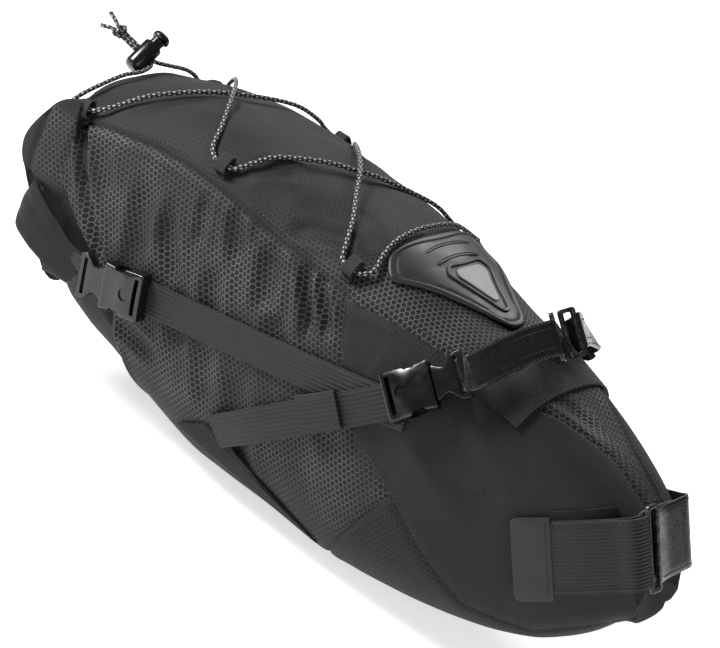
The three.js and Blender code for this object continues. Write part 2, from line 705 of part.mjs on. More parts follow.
const padFront = cushion.thickness + 2 * gap;
const ringY = { near: -24, far: -10 };

function addSeatpostStrap() {
  const across = () => faceUp;
  const half = strap.thickness / 2;
  const lift = half + 1.5 * gap;
  const base = [...noseRun(-1, lift, -46, -3, 6), postPoint(padFront + 1.2, -noseHalf(-3) + 4),
    postPoint(padFront + 3.4, ringY.near - 4)];
  add(bag, 'seatpost_strap_base', ribbon(base, across, strap.width, strap.thickness), finish.webbing);
  const second = lift + strap.thickness + gap + 0.2;
  const end = [postPoint(padFront + 6.9, ringY.near - 3.2), postPoint(padFront + 4.6, -noseHalf(-3) + 1.5),
    ...noseRun(-1, second, -3, -strapReach, 6)];
  add(bag, 'seatpost_strap_end', ribbon(end, across, strap.width - 1, strap.thickness), finish.webbing);
  const tag = noseRun(-1, second, -strapReach - gap, -strapReach - gap - label.length, 3);
  add(bag, 'label_tab', ribbon(tag, across, label.width, label.thickness), finish.rubber);
  const tab = [postPoint(padFront + 4.6, ringY.far + 1.05), postPoint(padFront + 2.2, 6), postPoint(padFront + 1.6, 26),
    postPoint(padFront + 0.6, noseHalf(-3) - 2), ...noseRun(1, lift, -3, -40, 5)];
  add(bag, 'seatpost_ring_tab', ribbon(tab, across, strap.width, strap.thickness), finish.leather);
}

function addSeatpostRing() {
  const reach = ringY.far - ringY.near;
  const body = rectangularRing(strap.width, reach);
  body.applyMatrix4(new THREE.Matrix4().makeBasis(faceUp, V(0, -1, 0), faceOut));
  const at = postPoint(padFront + 4.6, (ringY.near + ringY.far) / 2);
  add(bag, 'seatpost_ring', body.translate(at.x, at.y, at.z), finish.metal);
  const pad = plate(rounded(cushion.height, cushion.width, 9), 0, cushion.thickness);
  pad.applyMatrix4(new THREE.Matrix4().makeBasis(faceUp, V(0, -1, 0), faceOut));
  const seat = postPoint(gap, 0);
  add(bag, 'nose_pad', pad.translate(seat.x, seat.y, seat.z), finish.rubber);
}

function addBungee() {
  for (const [name, x, y, turn] of eyelets) {
    const body = eyelet();
    const up = topNormal(x, y);
    const along = V(Math.cos(deg(turn)), Math.sin(deg(turn)), 0);
    const side = up.clone().cross(along).normalize();
    body.applyMatrix4(new THREE.Matrix4().makeBasis(side.clone().cross(up), side, up));
    const at = onTop(x, y, eye.height / 2 + gap);
    add(bag, name, body.translate(at.x, at.y, at.z), finish.webbing);
  }
  add(bag, 'bungee_cord', bungee(), finish.cord);
}

function addCordLock() {
  const frame = buckleFrame(cordLockAt.clone().addScaledVector(lockAxis, -lock.middle), lockThrough, lockAxis);
  add(frame, 'cord_lock_barrel', lockBarrel(), finish.plastic);
  add(frame, 'cord_lock_plunger', lockPlunger(), finish.plastic);
  add(frame, 'cord_lock_spring', lockSpring(), finish.metal);
  bag.add(frame);
  const end = cordLockAt.clone().addScaledVector(lockThrough, 19 + gap + 5.2);
  const body = knot();
  add(bag, 'cord_knot', body.translate(end.x, end.y, end.z), finish.cord);
}

addRollTop();
addStiffener();
addTop();
for (const [name, side] of sides) {
  const tail = tailBuckle(side);
  const front = frontBuckle(side);
  addBuckle(`tail_buckle_${name}`, tail);
  addBuckle(`front_buckle_${name}`, front);
  addWebbing(name, side, tail, front);
  add(bag, `belly_wing_${name}`, wing(side), finish.canvas);
}
addSeatpostStrap();
addSeatpostRing();
addBungee();
addCordLock();

// the origin is under the middle of the whole object
bag.updateMatrixWorld(true);
const bounds = new THREE.Box3().setFromObject(bag);
const middle = bounds.getCenter(V(0, 0, 0));
bag.position.set(-middle.x, -middle.y, -bounds.min.z);
bag.updateMatrixWorld(true);

export default bag;
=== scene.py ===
import bpy
import math
from mathutils import Matrix, Vector, noise


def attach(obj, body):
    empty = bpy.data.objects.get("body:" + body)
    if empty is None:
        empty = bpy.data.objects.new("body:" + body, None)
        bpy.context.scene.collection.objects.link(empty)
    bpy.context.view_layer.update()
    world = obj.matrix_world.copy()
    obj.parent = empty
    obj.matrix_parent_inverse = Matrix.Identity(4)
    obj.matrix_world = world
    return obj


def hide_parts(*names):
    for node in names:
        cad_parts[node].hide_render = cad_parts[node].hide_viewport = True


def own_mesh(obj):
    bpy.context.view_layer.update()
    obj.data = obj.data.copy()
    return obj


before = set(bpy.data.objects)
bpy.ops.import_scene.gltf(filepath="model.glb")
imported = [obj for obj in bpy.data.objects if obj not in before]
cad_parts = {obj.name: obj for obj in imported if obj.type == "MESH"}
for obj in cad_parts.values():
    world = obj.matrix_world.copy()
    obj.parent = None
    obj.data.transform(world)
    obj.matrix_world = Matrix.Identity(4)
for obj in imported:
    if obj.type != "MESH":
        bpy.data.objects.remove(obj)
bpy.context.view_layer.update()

# camera: a long lens, tipped the way the bag is shown
cameraView = {"azimuth": 26, "elevation": 24, "tip": 25, "distance": 2.1, "lens": 151.0,
              "target": (-0.0055, 0.0, 0.139)}


def makeCamera(settings):
    around, up, tip = (math.radians(settings[k]) for k in ("azimuth", "elevation", "tip"))
    back = Vector((math.sin(around) * math.cos(up), -math.cos(around) * math.cos(up), math.sin(up)))
    across = Vector((math.cos(around), math.sin(around), 0))
    over = back.cross(across)
    right = across * math.cos(tip) + over * math.sin(tip)
    top = over * math.cos(tip) - across * math.sin(tip)
    camera = bpy.data.objects.new("camera", bpy.data.cameras.new("camera"))
    bpy.context.scene.collection.objects.link(camera)
    turn = Matrix((right, top, back)).transposed().to_4x4()
    camera.matrix_world = Matrix.Translation(Vector(settings["target"]) + back * settings["distance"]) @ turn
    camera.data.lens = settings["lens"]
    camera.data.sensor_width = 36
    camera.data.clip_end = 20
    bpy.context.scene.camera = camera


makeCamera(cameraView)
print("camera placed")


# materials
def newMaterial(name, color, roughness, specular=0.5):
    material = bpy.data.materials.new(name)
    material.use_nodes = True
    shader = material.node_tree.nodes["Principled BSDF"]
    shader.inputs["Base Color"].default_value = (*color, 1)
    shader.inputs["Roughness"].default_value = roughness
    shader.inputs["Specular IOR Level"].default_value = specular
    return material, material.node_tree, shader


def node(tree, kind, **settings):
    made = tree.nodes.new(kind)
    for key, value in settings.items():
        setattr(made, key, value)
    return made


def calc(tree, operation, *values):
    made = node(tree, "ShaderNodeMath", operation=operation)
    for i, value in enumerate(values):
        if isinstance(value, (int, float)):
            made.inputs[i].default_value = value
        else:
            tree.links.new(value, made.inputs[i])
    return made.outputs[0]


def ramp(tree, value, low, high, outLow, outHigh):
    made = node(tree, "ShaderNodeMapRange", interpolation_type="SMOOTHSTEP")
    tree.links.new(value, made.inputs["Value"])
    for key, number in (("From Min", low), ("From Max", high), ("To Min", outLow), ("To Max", outHigh)):
        made.inputs[key].default_value = number
    return made.outputs["Result"]


def mixColor(tree, amount, first, second):
    made = node(tree, "ShaderNodeMix", data_type="RGBA")
    if isinstance(amount, float):
        made.inputs["Factor"].default_value = amount
    else:
        tree.links.new(amount, made.inputs["Factor"])
    for socket, value in ((made.inputs[6], first), (made.inputs[7], second)):
        if isinstance(value, tuple):
            socket.default_value = (*value, 1)
        else:
            tree.links.new(value, socket)
    return made.outputs[2]


def patternUV(tree):
    uv = node(tree, "ShaderNodeUVMap", uv_map="UVMap")
    parts = node(tree, "ShaderNodeSeparateXYZ")
    tree.links.new(uv.outputs[0], parts.inputs[0])
    return parts.outputs[0], parts.outputs[1]


def grain(tree, scale, detail=3.0, vector=None, roughness=0.55):
    made = node(tree, "ShaderNodeTexNoise")
    made.inputs["Scale"].default_value = scale
    made.inputs["Detail"].default_value = detail
    made.inputs["Roughness"].default_value = roughness
    if vector is None:
        vector = node(tree, "ShaderNodeTexCoord").outputs["Object"]
    tree.links.new(vector, made.inputs["Vector"])
    return made.outputs["Fac"]


def bump(tree, shader, height, strength, distance):
    made = node(tree, "ShaderNodeBump")
    made.inputs["Strength"].default_value = strength
    made.inputs["Distance"].default_value = distance
    tree.links.new(height, made.inputs["Height"])
    tree.links.new(made.outputs[0], shader.inputs["Normal"])
    return made


# distance to the sides of a honeycomb cell, 0 in its middle and 0.5 on its lines
def combDistance(tree, u, v, pitch):
    found = []
    for shift in (0.0, 0.5):
        parts = []
        for value, size in ((u, 1.0), (v, 1.7320508)):
            moved = calc(tree, "ADD", calc(tree, "DIVIDE", value, pitch), shift * size)
            part = calc(tree, "FLOORED_MODULO", moved, size)
            parts.append(calc(tree, "ABSOLUTE", calc(tree, "SUBTRACT", part, size / 2)))
        slanted = calc(tree, "ADD", calc(tree, "MULTIPLY", parts[0], 0.5),
                calc(tree, "MULTIPLY", parts[1], 0.8660254))
        found.append(calc(tree, "MAXIMUM", slanted, parts[0]))
    return calc(tree, "MINIMUM", *found)


shellCloth = {"pitch": 0.0040, "dark": (0.0062, 0.0064, 0.0068), "line": (0.125, 0.127, 0.13),
              "plain": (0.0092, 0.0094, 0.0099), "weave": 0.0011}


def makeShellCloth(look):
    material, tree, shader = newMaterial("shellCloth", look["plain"], 0.7, 0.35)
    u, v = patternUV(tree)
    comb = node(tree, "ShaderNodeAttribute", attribute_name="comb").outputs["Fac"]
    toneAndShade = node(tree, "ShaderNodeAttribute", attribute_name="toneAndShade").outputs["Fac"]
    edge = combDistance(tree, u, v, look["pitch"])
    line = ramp(tree, edge, 0.37, 0.46, 0.0, 1.0)
    patchy = ramp(tree, grain(tree, 24.0, 2.0), 0.36, 0.66, 0.45, 1.0)
    print_ = calc(tree, "MULTIPLY", calc(tree, "MULTIPLY", line, comb), patchy)
    weave = calc(tree, "MULTIPLY", calc(tree, "SINE", calc(tree, "MULTIPLY", u, 2 * math.pi / look["weave"])),
                 calc(tree, "SINE", calc(tree, "MULTIPLY", v, 2 * math.pi / look["weave"])))
    fleck = grain(tree, 1500.0, 2.0)
    ground = mixColor(tree, comb, look["plain"], look["dark"])
    flecked = mixColor(tree, ramp(tree, fleck, 0.42, 0.72, 0.0, 0.55), ground, (0.034, 0.035, 0.037))
    # this multiplies the colour by panel tones, with painted shade in the gusset recess and on the turned-in
    # edge
    toneAndShadeApplied = node(tree, "ShaderNodeMix", data_type="RGBA", blend_type="MULTIPLY")
    toneAndShadeApplied.inputs["Factor"].default_value = 1
    tree.links.new(flecked, toneAndShadeApplied.inputs[6])
    tree.links.new(toneAndShade, toneAndShadeApplied.inputs[7])
    printed = mixColor(tree, print_, toneAndShadeApplied.outputs[2], look["line"])
    tree.links.new(printed, shader.inputs["Base Color"])
    tree.links.new(calc(tree, "SUBTRACT", ramp(tree, fleck, 0.3, 0.7, 0.62, 0.8),
            calc(tree, "MULTIPLY", print_, 0.28)),
                   shader.inputs["Roughness"])
    height = calc(tree, "ADD", calc(tree, "MULTIPLY", weave, 0.12), calc(tree, "MULTIPLY", print_, 0.9))
    height = calc(tree, "ADD", height, calc(tree, "MULTIPLY", fleck, 0.7))
    bump(tree, shader, height, 0.55, 0.0003)
    shader.inputs["Sheen Weight"].default_value = 0.02
    return material


def makePlainCloth(name, color, weavePitch):
    material, tree, shader = newMaterial(name, color, 0.75, 0.3)
    u, v = patternUV(tree)
    weave = calc(tree, "MULTIPLY", calc(tree, "SINE", calc(tree, "MULTIPLY", u, 2 * math.pi / weavePitch)),
                 calc(tree, "SINE", calc(tree, "MULTIPLY", v, 2 * math.pi / weavePitch)))
    fleck = grain(tree, 1300.0, 2.0)
    lighter = tuple(c * 2.4 for c in color)
    tree.links.new(mixColor(tree, ramp(tree, fleck, 0.42, 0.75, 0.0, 0.5), color, lighter),
            shader.inputs["Base Color"])
    bump(tree, shader, calc(tree, "ADD", calc(tree, "MULTIPLY", weave, 0.4), fleck), 0.5, 0.0003)
    shader.inputs["Sheen Weight"].default_value = 0.02
    return material


# u runs along the strap and v across it
def makeWebbing(name, color, ribPitch, crossPitch):
    material, tree, shader = newMaterial(name, color, 0.6, 0.45)
    u, v = patternUV(tree)
    rib = calc(tree, "SINE", calc(tree, "MULTIPLY", v, 2 * math.pi / ribPitch))
    pick = calc(tree, "SINE", calc(tree, "ADD", calc(tree, "MULTIPLY", u, 2 * math.pi / crossPitch),
                                   calc(tree, "MULTIPLY", rib, 1.6)))
    height = calc(tree, "ADD", rib, calc(tree, "MULTIPLY", pick, 0.35))
    # painted highlight and shade: raised ribs are coloured lighter and the grooves darker, broken up by
    # random fleck
    lighter = tuple(c * 3.0 for c in color)
    shade = ramp(tree, height, -1.2, 1.3, 0.0, 1.0)
    fleck = grain(tree, 900.0, 2.0)
    amount = calc(tree, "MULTIPLY", shade, ramp(tree, fleck, 0.3, 0.7, 0.35, 1.0))
    tree.links.new(mixColor(tree, amount, color, lighter), shader.inputs["Base Color"])
    tree.links.new(ramp(tree, fleck, 0.2, 0.8, 0.5, 0.72), shader.inputs["Roughness"])
    bump(tree, shader, height, 0.6, 0.00035)
    shader.inputs["Sheen Weight"].default_value = 0.02
    return material


def makeLeather():
    material, tree, shader = newMaterial("strapLeather", (0.012, 0.012, 0.013), 0.32, 0.6)
    cells = node(tree, "ShaderNodeTexVoronoi", feature="F1")
    cells.inputs["Scale"].default_value = 700
    tree.links.new(node(tree, "ShaderNodeTexCoord").outputs["Object"], cells.inputs["Vector"])
    crease = grain(tree, 160.0, 4.0)
    wear = ramp(tree, grain(tree, 300.0, 4.0), 0.45, 0.7, 0.0, 0.5)
    tree.links.new(mixColor(tree, wear, (0.010, 0.010, 0.011), (0.022, 0.022, 0.023)),
            shader.inputs["Base Color"])
    tree.links.new(ramp(tree, crease, 0.3, 0.7, 0.22, 0.36), shader.inputs["Roughness"])
    height = calc(tree, "ADD", cells.outputs["Distance"], calc(tree, "MULTIPLY", crease, 0.8))
    bump(tree, shader, height, 0.35, 0.0003)
    return material


def makeRubber(name, color, roughness):
    material, tree, shader = newMaterial(name, color, roughness, 0.45)
    fine = grain(tree, 2200.0, 2.0)
    smear = grain(tree, 60.0, 3.0)
    lighter = tuple(min(1.0, c * 1.5) for c in color)
    tree.links.new(mixColor(tree, ramp(tree, smear, 0.35, 0.7, 0.0, 0.6), color, lighter),
            shader.inputs["Base Color"])
    tree.links.new(ramp(tree, smear, 0.3, 0.7, roughness - 0.07, roughness + 0.09),
            shader.inputs["Roughness"])
    bump(tree, shader, fine, 0.25, 0.00015)
    return material


def makePlastic():
    material, tree, shader = newMaterial("bucklePlastic", (0.006, 0.006, 0.0065), 0.2, 0.6)
    fine = grain(tree, 700.0, 3.0)
    smear = grain(tree, 90.0, 3.0)
    tree.links.new(ramp(tree, smear, 0.3, 0.7, 0.16, 0.3), shader.inputs["Roughness"])
    tree.links.new(mixColor(tree, ramp(tree, fine, 0.5, 0.8, 0.0, 0.3), (0.006, 0.006, 0.0065),
            (0.02, 0.02, 0.021)),
                   shader.inputs["Base Color"])
    bump(tree, shader, fine, 0.12, 0.0001)
    return material


def makeMetal():
    material, tree, shader = newMaterial("ringMetal", (0.09, 0.09, 0.095), 0.26, 0.5)
    shader.inputs["Metallic"].default_value = 0.9
    smear = grain(tree, 260.0, 3.0)
    tree.links.new(ramp(tree, smear, 0.3, 0.7, 0.2, 0.38), shader.inputs["Roughness"])
    tree.links.new(mixColor(tree, ramp(tree, smear, 0.4, 0.7, 0.0, 0.6), (0.07, 0.07, 0.074),
            (0.2, 0.2, 0.205)),
                   shader.inputs["Base Color"])
    bump(tree, shader, smear, 0.1, 0.0001)
    return material


# a braid with two rows of pale reflecting threads
def makeBungeeBraid(pitch=0.0036):
    material, tree, shader = newMaterial("bungeeBraid", (0.012, 0.012, 0.013), 0.55, 0.5)
    u, v = patternUV(tree)
    row = calc(tree, "FLOORED_MODULO", calc(tree, "DIVIDE", u, pitch), 1.0)
    around = calc(tree, "FLOORED_MODULO", calc(tree, "ADD", calc(tree, "MULTIPLY", v, 4.0),
                  calc(tree, "MULTIPLY", calc(tree, "FLOOR", calc(tree, "DIVIDE", u, pitch)), 0.5)), 1.0)
    across = calc(tree, "ABSOLUTE", calc(tree, "SUBTRACT", row, 0.5))
    beside = calc(tree, "ABSOLUTE", calc(tree, "SUBTRACT", around, 0.5))
    size = calc(tree, "ADD", calc(tree, "MULTIPLY", across, 1.15), beside)
    dot = ramp(tree, size, 0.30, 0.40, 1.0, 0.0)
    tree.links.new(mixColor(tree, dot, (0.012, 0.012, 0.013), (0.62, 0.62, 0.62)),
            shader.inputs["Base Color"])
    braid = calc(tree, "SINE", calc(tree, "MULTIPLY", calc(tree, "ADD", calc(tree, "DIVIDE", u, pitch),
                 calc(tree, "MULTIPLY", v, 2.0)), 4 * math.pi))
    bump(tree, shader, calc(tree, "ADD", braid, dot), 0.5, 0.0002)
    return material


looks = {
    "shell": makeShellCloth(shellCloth),
    "plain": makePlainCloth("plainCloth", (0.0095, 0.0097, 0.0102), 0.0011),
    "lining": makePlainCloth("liningCloth", (0.02, 0.02, 0.021), 0.0009),
    "webbing": makeWebbing("sideWebbing", (0.0085, 0.0085, 0.009), 0.0030, 0.0016),
    "wide": makeWebbing("wideWebbing", (0.0095, 0.0095, 0.010), 0.0024, 0.0016),
    "ribs": makeWebbing("crossRibWebbing", (0.010, 0.010, 0.0105), 0.0016, 0.0024),
    "leather": makeLeather(),
    "rubber": makeRubber("patchRubber", (0.022, 0.022, 0.023), 0.42),
    "label": makeRubber("labelRubber", (0.026, 0.026, 0.027), 0.5),
    "pale": makeRubber("paleInlay", (0.23, 0.235, 0.24), 0.4),
    "thread": makeRubber("thread", (0.05, 0.05, 0.052), 0.5),
    "plastic": makePlastic(),
    "metal": makeMetal(),
    "braid": makeBungeeBraid(),
}
print("materials made")

# the shell's form: share of the length, half width, bottom and top, in millimetres like all below
shell = {"tail": -250.0, "length": 534.0, "halfWidth": 92.0, "height": 232.0, "roundness": 2.8,
        "shift": -2.725,
         "rows": 330, "columns": 250, "wall": 3.0}
shellRows = [
    (0.000, 0.925, 0.280, 0.848), (0.047, 0.950, 0.236, 0.889), (0.094, 0.970, 0.185, 0.932),
    (0.187, 0.995, 0.090, 0.990), (0.281, 1.000, 0.045, 1.000), (0.375, 1.000, -0.003, 0.994),
    (0.506, 0.995, 0.000, 0.974), (0.618, 0.970, 0.000, 0.915), (0.730, 0.890, 0.040, 0.856),
    (0.824, 0.770, 0.095, 0.796), (0.890, 0.655, 0.160, 0.740), (0.936, 0.550, 0.236, 0.688),
    (0.977, 0.420, 0.324, 0.636), (1.000, 0.270, 0.392, 0.580)]


def fade(t):
    t = min(max(t, 0.0), 1.0)
    return t * t * (3 - 2 * t)


def spot(x, y, z):
    return Vector((x + shell["shift"], y, z)) / 1000


def stationAt(x):
    share = min(max((x - shell["tail"]) / shell["length"], 0.0), 1.0)
    i = 0
    while i < len(shellRows) - 2 and share > shellRows[i + 1][0]:
        i += 1
    a, b = shellRows[i], shellRows[i + 1]
    before, after = shellRows[max(i - 1, 0)], shellRows[min(i + 2, len(shellRows) - 1)]
    span = b[0] - a[0]
    t = (share - a[0]) / span
    values = []
    for k in (1, 2, 3):
        first = (b[k] - before[k]) / (b[0] - before[0]) * span
        last = (after[k] - a[k]) / (after[0] - a[0]) * span
        values.append((2 * t ** 3 - 3 * t ** 2 + 1) * a[k] + (t ** 3 - 2 * t ** 2 + t) * first
                      + (3 * t ** 2 - 2 * t ** 3) * b[k] + (t ** 3 - t ** 2) * last)
    return values[0] * shell["halfWidth"], values[1] * shell["height"], values[2] * shell["height"]


def sectionAt(x, angle, inset=0.0):
    half, low, high = stationAt(x)
    power = 2 / shell["roundness"]
    c, s = math.cos(angle), math.sin(angle)
    y = (half - inset) * math.copysign(abs(c) ** power, c)
    z = (low + high) / 2 + ((high - low) / 2 - inset) * math.copysign(abs(s) ** power, s)
    return y, z


def shellAt(share, angle, inset=0.0):
    lean = -0.384 * fade(1 - share / 0.3) - 0.625 * fade((share - 0.74) / 0.26)
    middle = -214.1 + 486.1 * share
    x = middle
    for _ in range(4):
        y, z = sectionAt(x, angle, inset)
        x = min(middle + lean * (z - 120), 281.0)
    return x, y, z


def sideY(x, z):
    half, low, high = stationAt(x)
    share = min(0.999, abs(z - (low + high) / 2) / ((high - low) / 2))
    return half * (1 - share ** shell["roundness"]) ** (1 / shell["roundness"])


def topZ(x, y):
    half, low, high = stationAt(x)
    share = min(0.999, abs(y) / half)
    return (low + high) / 2 + (high - low) / 2 * (1 - share ** shell["roundness"]) ** (1 / shell["roundness"])


def sideNormal(x, z, side):
    dx = (sideY(x + 2, z) - sideY(x - 2, z)) / 4
    dz = (sideY(x, z + 2) - sideY(x, z - 2)) / 4
    return Vector((-dx, side, -dz)).normalized()


def topNormal(x, y):
    dx = (topZ(x + 2, y) - topZ(x - 2, y)) / 4
    dy = (topZ(x, y + 2) - topZ(x, y - 2)) / 4
    return Vector((-dx, -dy, 1)).normalized()


def onSide(x, z, side, lift):
    return Vector((x, side * sideY(x, z), z)) + sideNormal(x, z, side) * lift


def onTop(x, y, lift):
    return Vector((x, y, topZ(x, y))) + topNormal(x, y) * lift


def between(table, value):
    for (a, fa), (b, fb) in zip(table, table[1:]):
        if value <= b:
            return fa + (fb - fa) * max(0.0, (value - a) / (b - a))
    return table[-1][1]


# seams, folds and panels, by height z along x on the sides
topSeamY = [(-260, 76), (-200, 79), (-12, 80), (29, 79), (97, 64), (150, 49), (177, 31), (214, 14), (284, 6)]
frontSeamZ = [(16, 190), (32, 162), (73, 112), (112, 92), (150, 66), (185, 46), (230, 52), (284, 96)]
lowerSeamX = [(0, 72), (30, 84), (92, 112)]
gussetX = [(15, -108), (40, -122), (75, -142), (102, -164), (116, -192), (155, -247), (200, -300)]
# x, z at both ends, width and depth of each fold in the side
sideFolds = [
    (-226, 178, -194, 138, 4.5, 4.2), (-194, 138, -163, 106, 4.5, 4.0), (-128, 164, -102, 126, 7, 3.2),
    (-84, 194, -64, 166, 6, 2.6), (-19, 190, 9, 156, 5, 5.0), (-12, 196, 22, 163, 4, 4.0),
    (-148, 74, -96, 66, 7, 2.4), (-60, 100, -40, 62, 9, 2.2), (-200, 172, -178, 150, 7, 2.0),
    (-108, 190, -96, 160, 5, 1.8), (-46, 188, -30, 150, 8, 3.4), (-152, 172, -136, 118, 9, 3.0),
    (-76, 150, -62, 112, 8, 3.2),
    (-20, 150, -2, 124, 9, 3.0), (-92, 118, -80, 84, 8, 2.6), (-30, 100, -4, 30, 12, 2.4),
    (30, 120, 62, 96, 8, 1.6),
    (120, 150, 176, 120, 14, 1.6)]
# x, y at both ends, width and depth of each fold in the top
topFolds = [
    (-96, -60, -72, -44, 7, 3.0), (-44, -72, -6, -60, 5, 3.0), (-190, -50, -150, -20, 9, 2.0),
    (-120, 20, -70, 50, 9, 2.2), (-40, 40, -10, 62, 7, 2.4), (-210, 30, -180, 55, 8, 2.2),
    (150, -24, 196, -10, 7, 2.4), (170, 20, 210, 6, 7, 2.0), (-20, -30, 8, -52, 7, 1.8)]


def foldDepth(folds, u, v):
    total = 0.0
    for u0, v0, u1, v1, width, depth in folds:
        du, dv = u1 - u0, v1 - v0
        size = du * du + dv * dv
        t = ((u - u0) * du + (v - v0) * dv) / size
        if -0.15 < t < 1.15:
            away = abs((u - u0) * dv - (v - v0) * du) / math.sqrt(size)
            if away < 3 * width:
                ends = fade((t + 0.15) / 0.35) * fade((1.15 - t) / 0.35)
                total += ends * depth * (0.45 * math.exp(-((away / width - 1.5) / 0.6) ** 2)
                        - math.exp(-(away / width) ** 2))
    return total


def seamDip(distance, width=1.6, depth=2.0, puff=0.9):
    away = abs(distance)
    return -depth * math.exp(-(away / width) ** 2) + puff * math.exp(-((away - 7) / 5) ** 2)


# returns how far the cloth stands off its plain form, how strong the print is and how much its colour is
# scaled: panel tones, with painted shade in the gusset recess
def clothAt(x, y, z, angle):
    side = -1 if y < 0 else 1
    half, low, high = stationAt(x)
    seamCos = min(0.999, between(topSeamY, x) / half) ** (shell["roundness"] / 2)
    seamAngle = math.acos(seamCos)
    lifted = abs(math.atan2(math.sin(angle), abs(math.cos(angle))))
    up = lifted if math.sin(angle) >= 0 else -lifted
    radius = (half + (high - low) / 2) / 2
    seamGap = (up - seamAngle) * radius
    offset, comb, toneAndShade = 0.0, 1.0, 1.0
    top = seamGap > 0
    swell = noise.noise(Vector((x / 75, y / 60, z / 60)) + Vector((3.1 * side, 0, 1.7)))
    small = noise.noise(Vector((x / 26, y / 30, z / 24)) + Vector((7.7, 2.2 * side, 0)))
    loose = fade((150 - x) / 120)
    offset += (1.6 * swell - 0.8) * (0.4 + 0.6 * loose) + (0.9 * small - 0.3) * (0.25 + 0.75 * loose)
    if up > -1.25:
        offset += seamDip(seamGap)
    if top:
        strip = fade((x - 10) / 16)
        comb = 0.12 + 0.88 * strip * fade((238 - x) / 40) + 0.35 * fade((x + 80) / 60) * fade(1
                - seamGap / 40)
        toneAndShade = 0.92
        offset += 0.8 * foldDepth(topFolds, x, y) * (1 if side < 0 else 0.8) * fade(seamGap / 8)
    else:
        mirrorX = x if side < 0 else x + 9
        offset += 1.45 * foldDepth(sideFolds, mirrorX, z)
        front = between(frontSeamZ, x)
        slope = (between(frontSeamZ, x + 3) - between(frontSeamZ, x - 3)) / 6
        frontGap = (z - front) / math.sqrt(1 + slope * slope) if x > 14 else -99
        lowerGap = (x - between(lowerSeamX, z)) if z < 92 else -99
        if x > 16 and abs(frontGap) < 25:
            offset += seamDip(frontGap, 1.5, 1.7, 0.6)
        if abs(lowerGap) < 25 and frontGap < 0:
            offset += seamDip(lowerGap, 1.4, 1.6, 0.5)
        if frontGap > 0:
            comb, toneAndShade = 0.0, 1.25
        elif lowerGap > 0 or x > 112:
            comb, toneAndShade = 0.16, 0.8
        else:
            comb = 0.25 + 0.75 * fade((z - 20) / 50)
        if side and z < 200:
            into = between(gussetX, z) - x
            recess = fade((into + 2) / 6) * fade((200 - z) / 30)
            offset += -4.0 * recess * fade(1 - (into - 26) / 40) + 1.2 * math.exp(-((into + 4) / 3) ** 2)
            comb *= 1 - recess
            # painted shade: the cloth's colour is darkened into the gusset recess
            toneAndShade *= 1 - 0.45 * recess
    # straps and fittings lie on quiet cloth
    if not top and x > 60 and z > 130:
        offset *= 0.5
    offset = min(offset, 1.6)
    return offset, max(0.0, comb), toneAndShade


def gridMesh(name, rows, uvRows, closed, values=None):
    points = [p for row in rows for p in row]
    count = len(rows[0])
    faces, uvs = [], []
    for r in range(len(rows) - 1):
        for c in range(count if closed else count - 1):
            d = (c + 1) % count
            faces.append((r * count + c, r * count + d, (r + 1) * count + d, (r + 1) * count + c))
            uvs += [uvRows[r][c], uvRows[r][c + 1], uvRows[r + 1][c + 1], uvRows[r + 1][c]]
    mesh = bpy.data.meshes.new(name)
    mesh.from_pydata(points, [], faces)
    layer = mesh.uv_layers.new(name="UVMap")
    for i, uv in enumerate(uvs):
        layer.data[i].uv = uv
    if values:
        for key, numbers in values.items():
            attribute = mesh.attributes.new(key, "FLOAT", "POINT")
            attribute.data.foreach_set("value", numbers)
    made = bpy.data.objects.new(name, mesh)
    bpy.context.scene.collection.objects.link(made)
    return made


def onlySelect(piece):
    bpy.ops.object.select_all(action="DESELECT")
    piece.select_set(True)
    bpy.context.view_layer.objects.active = piece


def finishPiece(piece, look, body, slot, *nodes, angle=None):
    piece.data.materials.clear()
    piece.data.materials.append(looks[look])
    onlySelect(piece)
    bpy.ops.object.mode_set(mode="EDIT")
    bpy.ops.mesh.select_all(action="SELECT")
    bpy.ops.mesh.normals_make_consistent(inside=False)
    bpy.ops.object.mode_set(mode="OBJECT")
    if angle:
        bpy.ops.object.shade_smooth_by_angle(angle=math.radians(angle))
    else:
        bpy.ops.object.shade_smooth()
    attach(piece, body)
    if nodes:
        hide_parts(*nodes)
    return piece


